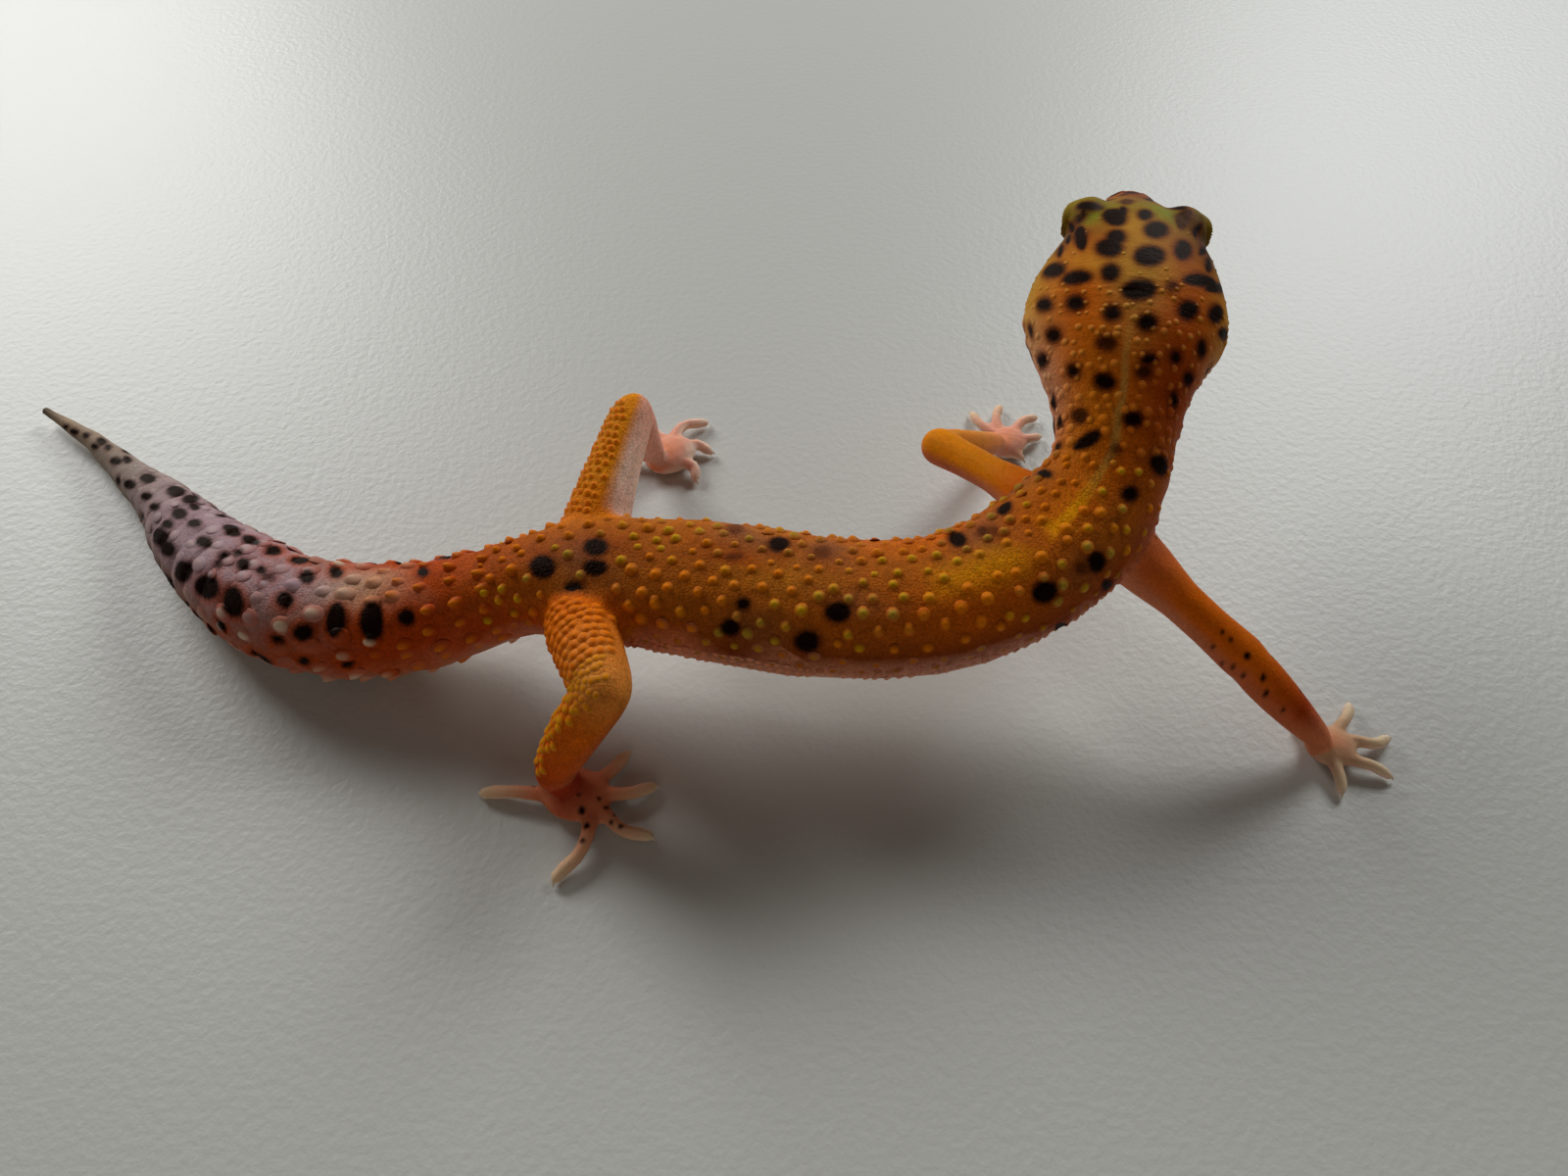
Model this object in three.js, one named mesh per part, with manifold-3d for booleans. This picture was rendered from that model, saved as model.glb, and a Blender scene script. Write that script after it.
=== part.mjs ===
// Leopard gecko, life size, standing in mid stride with its head raised and its tail laid on the ground.
// Millimetres, +Z up, Z = 0 is the ground. The origin is the middle of the animal's footprint box.
// The body is one bent tube from tail tip to snout, parted by thin cuts; limbs are tubes of their own.
import * as THREE from "three";
import { mergeVertices } from "three/addons/utils/BufferGeometryUtils.js";
import Module from "manifold-3d";

const wasm = await Module();
wasm.setup();

// ---- Driving dimensions ----

const CUT = 0.3; // width of the thin cuts between neighbouring pieces
const FLOOR_DEPTH = 20; // thickness of the ground block that trims the soles flat
const FOOTPRINT_CENTRE = [-0.7, 0.15]; // middle of the sizes below, brought to the origin

// The body's axis, from tail tip to snout, at rest on its four feet.
const SPINE = [
  [-82.3, 28.6, 1.6], // tail tip
  [-73.0, 22.1, 1.9],
  [-65.8, 15.7, 2.5],
  [-59.0, 9.6, 3.4],
  [-52.8, 2.6, 4.5],
  [-46.3, -2.9, 5.3],
  [-38.5, -7.9, 5.8],
  [-30.4, -9.3, 6.1],
  [-23.6, -9.5, 7.2],
  [-14.2, -8.6, 10.4], // vent
  [-6.3, -8.4, 12.4], // hips
  [3.2, -9.9, 13.2],
  [12.5, -11.8, 13.6], // belly
  [22.5, -13.7, 14.0],
  [30.9, -13.6, 14.8],
  [39.3, -10.5, 16.0], // chest
  [45.0, -6.6, 18.0],
  [48.6, -2.4, 20.6], // shoulders
  [49.9, 2.4, 24.0], // nape
  [50.5, 7.6, 27.2],
  [51.6, 13.4, 29.0], // jaw hinge
  [53.3, 20.2, 29.6],
  [54.6, 27.2, 29.0], // eyes
  [57.0, 38.2, 27.0], // snout
];

// Half width, height above the axis and depth below it, at places measured along the axis from the tail tip.
// The crown is the squareness of the upper half: 2 is an ellipse, more is boxier and less is more peaked.
const GIRTH = [
  { at: 0, wide: 0.6, up: 0.6, down: 0.6, crown: 2.0 },
  { at: 11, wide: 1.6, up: 1.6, down: 1.4, crown: 2.0 },
  { at: 21, wide: 2.5, up: 2.4, down: 2.2, crown: 2.1 },
  { at: 31, wide: 3.9, up: 3.6, down: 3.4, crown: 2.1 },
  { at: 40, wide: 5.2, up: 4.8, down: 4.5, crown: 2.1 },
  { at: 50, wide: 6.3, up: 5.7, down: 5.5, crown: 2.2 },
  { at: 60, wide: 6.7, up: 6.1, down: 5.9, crown: 2.2 }, // fattest part of the tail
  { at: 69, wide: 6.5, up: 6.0, down: 5.9, crown: 2.2 },
  { at: 76, wide: 5.9, up: 5.6, down: 5.5, crown: 2.2 },
  { at: 83, wide: 5.3, up: 5.3, down: 5.2, crown: 2.2 }, // vent
  { at: 91, wide: 6.5, up: 5.9, down: 5.6, crown: 2.3 }, // hips
  { at: 100, wide: 7.4, up: 6.2, down: 6.1, crown: 2.3 },
  { at: 110, wide: 7.9, up: 6.5, down: 6.4, crown: 2.3 }, // belly
  { at: 120, wide: 7.7, up: 6.4, down: 6.3, crown: 2.3 },
  { at: 130, wide: 7.4, up: 6.3, down: 6.0, crown: 2.3 },
  { at: 143, wide: 7.6, up: 6.3, down: 6.0, crown: 2.3 }, // shoulders
  { at: 150, wide: 6.8, up: 5.8, down: 5.7, crown: 2.3 },
  { at: 155, wide: 6.4, up: 5.6, down: 5.7, crown: 2.3 }, // neck
  { at: 159.5, wide: 7.4, up: 5.8, down: 6.0, crown: 2.3 },
  { at: 163.5, wide: 9.2, up: 6.1, down: 6.3, crown: 2.3 },
  { at: 166.5, wide: 10.4, up: 6.3, down: 6.4, crown: 2.3 },
  { at: 169.5, wide: 10.7, up: 6.5, down: 6.3, crown: 2.3 }, // jaw hinge
  { at: 173, wide: 9.9, up: 6.5, down: 6.0, crown: 2.3 },
  { at: 177, wide: 8.6, up: 6.3, down: 5.4, crown: 2.3 },
  { at: 181, wide: 7.3, up: 5.7, down: 5.0, crown: 2.1 },
  { at: 185, wide: 6.0, up: 4.4, down: 4.5, crown: 2.0 }, // eyes
  { at: 189, wide: 4.2, up: 3.2, down: 3.8, crown: 1.8 },
  { at: 192, wide: 3.2, up: 2.3, down: 3.2, crown: 1.8 },
  { at: 194, wide: 2.3, up: 1.6, down: 2.4, crown: 1.8 }, // snout
  { at: 194.8, wide: 1.2, up: 0.9, down: 1.3, crown: 1.8 },
];

// Where the body is parted, along the axis, and how finely each length is made.
const LENGTHS = [
  { name: "tail_tip", from: 0, to: 32, around: 14, rings: 9, tone: "tail" },
  { name: "tail_middle", from: 32, to: 58, around: 18, rings: 8, tone: "tail" },
  { name: "tail_root", from: 58, to: 83, around: 18, rings: 7, tone: "tail" },
  { name: "hips", from: 83, to: 98, around: 20, rings: 5, tone: "back" },
  { name: "trunk", from: 98, to: 126, around: 20, rings: 7, tone: "back" },
  { name: "chest", from: 126, to: 148, around: 20, rings: 7, tone: "back" },
  { name: "neck", from: 148, to: 160, around: 20, rings: 5, tone: "back" },
];
const HEAD_FROM = 160;
const BELLY_SQUARENESS = 2.3;

// The eye, from the point on the axis beside it.
const EYE = { at: 181.2, aside: 5.1, above: 2.3, ball: 2.6, window: 2.0 };
const LID = { thick: 3.2, long: 4.2 }; // half sizes of the bulge of the lids and the brow
const MOUTH = { corner: 173, below: 1.6, rear: 1.9 }; // where the jaw is parted from the head

// Each limb: the joints of its two segments with the limb's radius there, and its foot.
// A toe is the heading, in degrees from the palm's middle, of its root, its knuckle and its tip, and its reach.
const HIND_TOE = { root: 1.05, tip: 0.66, arch: 1.5 };
const FRONT_TOE = { root: 0.85, tip: 0.6, arch: 1.3 };
const LIMBS = [
  {
    side: "hind_right",
    names: ["thigh", "shank", "foot"],
    upper: [[-5.6, -9.6, 11.6, 4.6], [-4.4, -17.2, 13.8, 4.0], [-1.4, -24.6, 15.8, 3.0]],
    lower: [[-1.4, -24.6, 15.8, 3.0], [-5.0, -26.0, 10.2, 2.9], [-7.9, -27.0, 4.2, 2.3]],
    palm: { at: [-5.9, -28.0, 1.4], long: 3.9, wide: 3.0, thick: 1.7, heading: -15 },
    toe: HIND_TOE,
    toes: [[34, 41, 47, 8.0], [-1, 2, 9, 8.9], [-33, -38, -29, 10.0], [-58, -80, -98, 10.1], [180, 177, 177, 10.8]],
  },
  {
    side: "hind_left",
    names: ["thigh", "shank", "foot"],
    upper: [[-6.0, -6.6, 11.8, 4.6], [-3.6, 3.0, 15.4, 3.3], [-1.5, 11.4, 17.4, 2.7]],
    lower: [[-1.5, 11.4, 17.4, 2.7], [-1.4, 14.8, 10.6, 2.3], [-0.9, 18.6, 3.9, 1.75]],
    palm: { at: [0.9, 20.6, 1.4], long: 3.6, wide: 2.9, thick: 1.6, heading: 40 },
    toe: HIND_TOE,
    toes: [[-46, -32, -48, 6.0], [32, 31, 12, 6.2], [82, 75, 57, 8.8], [116, 122, 123, 9.0], [-178, 178, -176, 11.2]],
  },
  {
    side: "front_right",
    names: ["upper_arm", "forearm", "hand"],
    upper: [[51.0, -7.0, 15.8, 3.7], [56.6, -12.4, 13.4, 2.3], [62.6, -17.2, 10.4, 2.5]],
    lower: [[62.6, -17.2, 10.4, 2.5], [67.2, -20.0, 6.6, 2.2], [71.6, -22.2, 2.9, 1.5]],
    palm: { at: [73.4, -22.2, 1.2], long: 2.8, wide: 2.4, thick: 1.35, heading: -20 },
    toe: FRONT_TOE,
    toes: [[116, 122, 128, 4.8], [57, 52, 55, 7.6], [14, 4, 11, 7.8], [-44, -31, -31, 7.3], [-97, -90, -91, 6.1]],
  },
  {
    side: "front_left",
    names: ["upper_arm", "forearm", "hand"],
    upper: [[43.6, -0.8, 15.4, 3.2], [38.6, 5.9, 13.5, 2.05], [33.7, 12.0, 11.5, 2.35]],
    lower: [[33.7, 12.0, 11.5, 2.35], [38.2, 16.4, 7.1, 2.1], [42.6, 21.2, 2.9, 1.5]],
    palm: { at: [44.5, 23.0, 1.2], long: 2.8, wide: 2.4, thick: 1.35, heading: 60 },
    toe: FRONT_TOE,
    toes: [[-72, -66, -54, 3.8], [12, 15, 21, 5.6], [62, 58, 50, 7.7], [112, 100, 91, 8.2], [138, 132, 124, 8.1]],
  },
];
const LIMB_AROUND = 11;
const LIMB_RINGS = 4;
const LIMB_CAP = 3;
const TOE_AROUND = 6;
const TOE_RINGS = 8;
const CLAW = { length: 0.9, thick: 0.3 };

const TONES = {
  back: { color: 0xc4761f, roughness: 0.55 },
  tail: { color: 0xb9a3a6, roughness: 0.55 },
  limb: { color: 0xc97a2c, roughness: 0.6 },
  sole: { color: 0xd9a58c, roughness: 0.6 },
  eye: { color: 0xb08d3c, roughness: 0.1 },
};

// ---- Shape helpers ----

// A smooth reading of stations: rows of numbers at rising places.
function smooth(places, rows) {
  const size = rows[0].length;
  const curve = new THREE.CubicInterpolant(
    new Float32Array(places),
    new Float32Array(rows.flat()),
    size,
    new Float32Array(size),
  );
  return (place) => Array.from(curve.evaluate(place));
}

// Distances of the points of a line, measured along it from the first.
function distances(points) {
  const places = [0];
  points.slice(1).forEach((point, i) => {
    const step = new THREE.Vector3(...point).distanceTo(new THREE.Vector3(...points[i]));
    places.push(places[i] + step);
  });
  return places;
}

// An axis in space: its point, heading, right-hand side and upward direction at any distance along it.
// Beyond its ends it runs on straight.
function axisThrough(points) {
  const places = distances(points);
  const read = smooth(places, points);
  const length = places[places.length - 1];
  const inside = (s) => new THREE.Vector3(...read(s));
  const first = inside(0.01).sub(inside(0)).normalize();
  const last = inside(length).sub(inside(length - 0.01)).normalize();
  const point = (s) => {
    const within = THREE.MathUtils.clamp(s, 0, length);
    return inside(within).addScaledVector(s < 0 ? first : last, s - within);
  };
  const frame = (s) => {
    const heading = point(s + 0.4).sub(point(s - 0.4)).normalize();
    const right = new THREE.Vector3().crossVectors(heading, new THREE.Vector3(0, 0, 1)).normalize();
    const up = new THREE.Vector3().crossVectors(right, heading);
    return { point: point(s), heading, right, up };
  };
  return { length, frame };
}

// A unit solid standing on Y, bent along an axis. section(s) gives the half width, height and depth at s,
// and the squareness of the section above and below the axis where it isn't an ellipse.
function bend(unit, axis, section, from, to) {
  const place = unit.getAttribute("position");
  unit.computeBoundingBox();
  const { min, max } = unit.boundingBox;
  const round = (share, squareness) => Math.sign(share) * Math.abs(share) ** (2 / squareness);
  for (let i = 0; i < place.count; i += 1) {
    const s = THREE.MathUtils.mapLinear(place.getY(i), min.y, max.y, from, to);
    const { point, right, up } = axis.frame(s);
    const { wide, high, low, crown = 2, belly = 2 } = section(s);
    const above = place.getZ(i) > 0;
    const squareness = above ? crown : belly;
    point.addScaledVector(right, round(place.getX(i), squareness) * wide);
    point.addScaledVector(up, round(place.getZ(i), squareness) * (above ? high : low));
    place.setXYZ(i, point.x, point.y, point.z);
  }
  return unit;
}

function solid(geometry) {
  const bare = geometry.clone();
  bare.deleteAttribute("normal");
  bare.deleteAttribute("uv");
  const merged = mergeVertices(bare, 1e-4);
  return new wasm.Manifold(
    new wasm.Mesh({
      numProp: 3,
      vertProperties: new Float32Array(merged.getAttribute("position").array),
      triVerts: new Uint32Array(merged.index.array),
    }),
  );
}

// An egg round a point: a sphere of the given half thickness, drawn out to a half length along a heading.
function egg(centre, thick, long = thick, heading = new THREE.Vector3(0, 1, 0)) {
  const turn = new THREE.Quaternion().setFromUnitVectors(new THREE.Vector3(0, 1, 0), heading);
  const sphere = new THREE.SphereGeometry(1, 12, 8).scale(thick, long, thick).applyQuaternion(turn);
  return solid(sphere.translate(centre.x, centre.y, centre.z));
}

// The largest body of a solid, without the slivers that a cut can leave.
function largest(shape) {
  return shape.decompose().sort((a, b) => b.volume() - a.volume())[0];
}

const gecko = new THREE.Group();

function addPiece(name, shape, tone) {
  const mesh = largest(shape).getMesh();
  const geometry = new THREE.BufferGeometry();
  geometry.setAttribute("position", new THREE.BufferAttribute(mesh.vertProperties, 3));
  geometry.setIndex(new THREE.BufferAttribute(mesh.triVerts, 1));
  geometry.translate(-FOOTPRINT_CENTRE[0], -FOOTPRINT_CENTRE[1], 0);
  geometry.computeVertexNormals();
  const piece = new THREE.Mesh(geometry, new THREE.MeshStandardMaterial(TONES[tone]));
  piece.name = name;
  gecko.add(piece);
}

const ground = solid(new THREE.BoxGeometry(400, 400, FLOOR_DEPTH).translate(0, 0, -FLOOR_DEPTH / 2));

// ---- Body ----

const spine = axisThrough(SPINE);
const girth = smooth(
  GIRTH.map((row) => row.at),
  GIRTH.map((row) => [row.wide, row.up, row.down, row.crown]),
);

function bodySection(grow) {
  return (s) => {
    const [wide, up, down, crown] = girth(s);
    return { wide: wide + grow, high: up + grow, low: down + grow, crown, belly: BELLY_SQUARENESS };
  };
}

function bodyLength(from, to, around, rings, grow = 0) {
  const unit = new THREE.CylinderGeometry(1, 1, 1, around, rings);
  return solid(bend(unit, spine, bodySection(grow), from, to));
}

for (const length of LENGTHS) {
  const shape = bodyLength(length.from + CUT / 2, length.to - CUT / 2, length.around, length.rings);
  addPiece(length.name, shape.subtract(ground), length.tone);
}

// ---- Head, jaw and eyes ----

// A point beside the body's axis: how far to the right and how far up.
function beside(s, aside, above) {
  const { point, right, up } = spine.frame(s);
  return point.addScaledVector(right, aside).addScaledVector(up, above);
}

// A block lying along the axis, from one place to another, between two heights.
function blockAlong(from, to, low, high, tilt = 0) {
  const { heading, right, up } = spine.frame((from + to) / 2);
  const block = new THREE.BoxGeometry(40, to - from, high - low);
  block.rotateX(tilt);
  const centre = beside((from + to) / 2, 0, (low + high) / 2);
  const turn = new THREE.Matrix4().makeBasis(right, heading, up).setPosition(centre);
  return solid(block.applyMatrix4(turn));
}

function makeHead() {
  const headEnd = Math.min(spine.length, GIRTH[GIRTH.length - 1].at);
  let skull = bodyLength(HEAD_FROM + CUT / 2, headEnd, 22, 15);
  for (const [name, side] of [["eye_right", 1], ["eye_left", -1]]) {
    const centre = beside(EYE.at, side * EYE.aside, EYE.above);
    const outside = beside(EYE.at, side * (EYE.aside + LID.thick), EYE.above);
    const window = new THREE.CylinderGeometry(EYE.window, EYE.window, 2 * LID.thick, 12);
    const facing = outside.clone().sub(centre).normalize();
    const turn = new THREE.Quaternion().setFromUnitVectors(new THREE.Vector3(0, 1, 0), facing);
    window.applyQuaternion(turn).translate(outside.x, outside.y, outside.z);
    skull = skull.add(egg(centre, LID.thick, LID.long, spine.frame(EYE.at).heading));
    skull = skull.subtract(egg(centre, EYE.ball + CUT)).subtract(solid(window));
    addPiece(name, egg(centre, EYE.ball), "eye");
  }
  const under = blockAlong(MOUTH.corner, headEnd + 4, -20, -MOUTH.below);
  const cut = blockAlong(MOUTH.corner - CUT, headEnd + 4, -20, -MOUTH.below + CUT);
  addPiece("head", skull.subtract(cut), "back");
  addPiece("lower_jaw", skull.intersect(under), "sole");
}
makeHead();

// ---- Limbs ----

// A limb's segment: a capsule bent through its joints, rounded beyond the first and the last.
function limbSegment(joints, grow = 0) {
  const centres = joints.map((joint) => joint.slice(0, 3));
  const axis = axisThrough(centres);
  const girthAt = smooth(distances(centres), joints.map((joint) => [joint[3]]));
  const radius = (s) => girthAt(THREE.MathUtils.clamp(s, 0, axis.length))[0] + grow;
  const section = (s) => ({ wide: radius(s), high: radius(s), low: radius(s) });
  const slimness = axis.length / radius(axis.length / 2);
  const unit = new THREE.CapsuleGeometry(1, slimness, LIMB_CAP, LIMB_AROUND, LIMB_RINGS);
  return solid(bend(unit, axis, section, -radius(0), axis.length + radius(axis.length)));
}

// A toe arches from the palm to its padded tip on the ground and ends in a short claw.
function makeToe(palm, size, [rootHeading, knuckleHeading, tipHeading, reach]) {
  const towards = (degrees, distance, height) => {
    const angle = THREE.MathUtils.degToRad(degrees);
    return [palm[0] + Math.cos(angle) * distance, palm[1] + Math.sin(angle) * distance, height];
  };
  const axis = axisThrough([
    towards(rootHeading, reach * 0.12, palm[2]),
    towards(rootHeading, reach * 0.32, size.arch),
    towards(knuckleHeading, reach * 0.64, size.arch * 0.85),
    towards(tipHeading, reach - CLAW.length, size.tip),
    towards(tipHeading, reach, CLAW.thick),
  ]);
  const pad = axis.length - CLAW.length;
  const girthAt = smooth(
    [0, pad * 0.6, pad - 0.5, pad, pad + 0.2, axis.length],
    [[size.root], [size.tip * 1.15], [size.tip * 1.1], [size.tip * 0.8], [CLAW.thick * 1.2], [CLAW.thick * 0.6]],
  );
  const section = (s) => {
    const [radius] = girthAt(s);
    return { wide: radius, high: radius * 0.9, low: radius * 0.9 };
  };
  const unit = new THREE.CylinderGeometry(1, 1, 1, TOE_AROUND, TOE_RINGS);
  return solid(bend(unit, axis, section, 0, axis.length));
}

function makePalm({ at, long, wide, thick, heading }) {
  const palm = new THREE.SphereGeometry(1, 12, 7);
  palm.scale(long, wide, thick).rotateZ(THREE.MathUtils.degToRad(heading));
  return solid(palm.translate(...at));
}

const wholeBody = bodyLength(30, HEAD_FROM, 22, 44, CUT);

for (const limb of LIMBS) {
  const [upperName, lowerName, footName] = limb.names;
  const upper = limbSegment(limb.upper);
  const lower = limbSegment(limb.lower);
  const upperGrown = limbSegment(limb.upper, CUT);
  const lowerGrown = limbSegment(limb.lower, CUT);
  let foot = makePalm(limb.palm);
  for (const shape of limb.toes) {
    foot = foot.add(makeToe(limb.palm.at, limb.toe, shape));
  }
  addPiece(`${upperName}_${limb.side}`, upper.subtract(wholeBody), "limb");
  addPiece(`${lowerName}_${limb.side}`, lower.subtract(upperGrown).subtract(ground), "limb");
  addPiece(`${footName}_${limb.side}`, foot.subtract(lowerGrown).subtract(ground), "sole");
}

export default gecko;
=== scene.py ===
"""Leopard gecko, life size: one skin over the flesh nodes, raised scales, claws, eyes, light and camera."""
import math

import bmesh
import bpy
import numpy as np
from mathutils import Matrix, Vector
from mathutils.bvhtree import BVHTree


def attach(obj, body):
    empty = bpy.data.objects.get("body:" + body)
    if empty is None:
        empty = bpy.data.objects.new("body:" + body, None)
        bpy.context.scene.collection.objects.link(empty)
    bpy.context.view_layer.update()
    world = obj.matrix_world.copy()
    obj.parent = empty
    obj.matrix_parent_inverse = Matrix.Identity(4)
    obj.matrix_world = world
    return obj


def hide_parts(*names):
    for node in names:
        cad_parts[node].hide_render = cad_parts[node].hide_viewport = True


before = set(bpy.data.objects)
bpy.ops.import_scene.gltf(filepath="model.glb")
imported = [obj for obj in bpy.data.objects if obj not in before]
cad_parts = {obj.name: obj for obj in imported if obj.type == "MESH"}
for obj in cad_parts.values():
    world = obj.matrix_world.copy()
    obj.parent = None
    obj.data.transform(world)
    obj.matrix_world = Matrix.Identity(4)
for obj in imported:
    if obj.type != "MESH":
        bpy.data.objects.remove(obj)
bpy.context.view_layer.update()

MM = 0.001
SEED = 20

# ---- Sizes, in millimetres ----

# How far each flesh node is grown so that the thin cuts between them close before the skin is cast.
GROWTH = 0.25
VOXEL = 0.2
SMOOTHINGS = 110
SKIN_TRIANGLES = 194000
# The granules between the raised scales, and how high the lowest point stands over the floor.
GRANULE = 0.28
CLEARANCE = 0.01
# How deep the skin lies inside the solids, to leave room for the raised scales.
COAT_DEPTH = {"trunk": 0.30, "tail": 0.25, "neck": 0.2, "head": 0.08, "leg": 0.14}

# The backbone from the tail's tip to the snout.
SPINE_OFFSET = np.array([0.7, -0.15, 0.0])
SPINE = SPINE_OFFSET + np.array([
    [-82.3, 28.6, 1.6], [-73.0, 22.1, 1.9], [-65.8, 15.7, 2.5], [-59.0, 9.6, 3.4], [-52.8, 2.6, 4.5],
    [-46.3, -2.9, 5.3], [-38.5, -7.9, 5.8], [-30.4, -9.3, 6.1], [-23.6, -9.5, 7.2], [-14.2, -8.6, 10.4],
    [-6.3, -8.4, 12.4], [3.2, -9.9, 13.2], [12.5, -11.8, 13.6], [22.5, -13.7, 14.0], [30.9, -13.6, 14.8],
    [39.3, -10.5, 16.0], [45.0, -6.6, 18.0], [48.6, -2.4, 20.6], [49.9, 2.4, 24.0], [50.5, 7.6, 27.2],
    [51.6, 13.4, 29.0], [53.3, 20.2, 29.6], [54.6, 27.2, 29.0], [57.0, 38.2, 27.0],
])
# Distance along the backbone, half width, height and depth of the body there.
GIRTH = np.array([
    [0, .6, .6, .6], [11, 1.6, 1.6, 1.4], [21, 2.5, 2.4, 2.2], [31, 3.9, 3.6, 3.4], [40, 5.2, 4.8, 4.5],
    [50, 6.3, 5.7, 5.5], [60, 6.7, 6.1, 5.9], [69, 6.5, 6.0, 5.9], [76, 5.9, 5.6, 5.5], [83, 5.3, 5.3, 5.2],
    [91, 6.5, 5.9, 5.6], [100, 7.4, 6.2, 6.1], [110, 7.9, 6.5, 6.4], [120, 7.7, 6.4, 6.3],
    [130, 7.4, 6.3, 6.0], [143, 7.6, 6.3, 6.0], [150, 6.8, 5.8, 5.7], [155, 6.4, 5.6, 5.7],
    [159.5, 7.4, 5.8, 6.0], [163.5, 9.2, 6.1, 6.3], [166.5, 10.4, 6.3, 6.4], [169.5, 10.7, 6.5, 6.3],
    [173, 9.9, 6.5, 6.0], [177, 8.6, 6.3, 5.4], [181, 7.3, 5.7, 5.0], [185, 6.0, 4.4, 4.5],
    [189, 4.2, 3.2, 3.8], [192, 3.2, 2.3, 3.2], [194, 2.3, 1.6, 2.4], [194.8, 1.2, .9, 1.3],
])

# The eyeball's centre by the backbone and its radius, and how many degrees it looks ahead of sideways.
EYE_AT, EYE_ASIDE, EYE_ABOVE, EYE_BALL, EYE_FORWARD = 181.2, 5.1, 2.3, 2.6, 20
# Half the opening's length and height, the lids' distance from the eye's centre, the lower lid's share of
# the height, and how far the opening lies ahead of the centre.
LID_LONG, LID_TALL, LID_OUT, LOWER_LID, OPENING_AHEAD = 1.65, 1.15, 3.12, 0.95, 0.3
# The mouth: a place in the middle of the jaws, its corner, how far below the backbone it runs, its groove.
MOUTH_MIDDLE, MOUTH_CORNER, MOUTH_BELOW = 185.9, 173.0, 1.6
MOUTH_DEPTH, MOUTH_WIDTH = 0.34, 0.2
LIP_SWELL, LIP_SCALE, LIP_SEAM, LIP_EDGE = 0.07, 1.35, 0.09, 0.07
NOSTRIL_AT, NOSTRIL_TURN, NOSTRIL_DEPTH, NOSTRIL_RIM = 192.0, 52, 0.5, 0.12
EAR_AT, EAR_ASIDE, EAR_ABOVE, EAR_DEPTH, EAR_RIM = 166.6, 10.0, -1.2, 1.15, 0.16
# The tail's rings: where they start, the spacing at three places, and how deep and how slanted they are.
RINGS_FROM, RING_PLACES, RING_SPACING = 22, (20, 40, 80), (2.4, 3.0, 3.3)
RING_DEPTH, RING_SLANT = 0.18, 0.16
# Depths of the creases of neck and flank, of the belly's plates and of the skin's unevenness.
NECK_CREASE, FLANK_CREASE, BELLY_PLATE, UNEVEN = 0.12, 0.07, 0.06, 0.035

# Each limb: its joints from the body to the wrist or ankle with the flesh's half thickness,
# the palm's centre, and each toe's heading in degrees at its root, knuckle and tip, with its reach.
LIMBS = {
    "hind_right": {
        "joints": [[-5.6, -9.6, 11.6, 4.6], [-4.4, -17.2, 13.8, 4.0], [-1.4, -24.6, 15.8, 3.0],
                   [-5.0, -26.0, 10.2, 2.9], [-7.9, -27.0, 4.2, 2.3]],
        "palm": [-5.9, -28.0, 1.4], "arch": 1.5, "tip": 0.66,
        "toes": [[34, 41, 47, 8.0], [-1, 2, 9, 8.9], [-33, -38, -29, 10.0], [-58, -80, -98, 10.1],
                 [180, 177, 177, 10.8]],
    },
    "hind_left": {
        "joints": [[-6.0, -6.6, 11.8, 4.6], [-3.6, 3.0, 15.4, 3.3], [-1.5, 11.4, 17.4, 2.7],
                   [-1.4, 14.8, 10.6, 2.3], [-0.9, 18.6, 3.9, 1.75]],
        "palm": [0.9, 20.6, 1.4], "arch": 1.5, "tip": 0.66,
        "toes": [[-46, -32, -48, 6.0], [32, 31, 12, 6.2], [82, 75, 57, 8.8], [116, 122, 123, 9.0],
                 [-178, 178, -176, 11.2]],
    },
    "front_right": {
        "joints": [[51.0, -7.0, 15.8, 3.7], [56.6, -12.4, 13.4, 2.3], [62.6, -17.2, 10.4, 2.5],
                   [67.2, -20.0, 6.6, 2.2], [71.6, -22.2, 2.9, 1.5]],
        "palm": [73.4, -22.2, 1.2], "arch": 1.3, "tip": 0.6,
        "toes": [[116, 122, 128, 4.8], [57, 52, 55, 7.6], [14, 4, 11, 7.8], [-44, -31, -31, 7.3],
                 [-97, -90, -91, 6.1]],
    },
    "front_left": {
        "joints": [[43.6, -0.8, 15.4, 3.2], [38.6, 5.9, 13.5, 2.05], [33.7, 12.0, 11.5, 2.35],
                   [38.2, 16.4, 7.1, 2.1], [42.6, 21.2, 2.9, 1.5]],
        "palm": [44.5, 23.0, 1.2], "arch": 1.3, "tip": 0.6,
        "toes": [[-72, -66, -54, 3.8], [12, 15, 21, 5.6], [62, 58, 50, 7.7], [112, 100, 91, 8.2],
                 [138, 132, 124, 8.1]],
    },
}
CLAW_LENGTH = 0.9
# How much of what was cast round a claw is drawn back to the toe's pad.
DRAWN_BACK = 0.62

# ---- Markings ----

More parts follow.
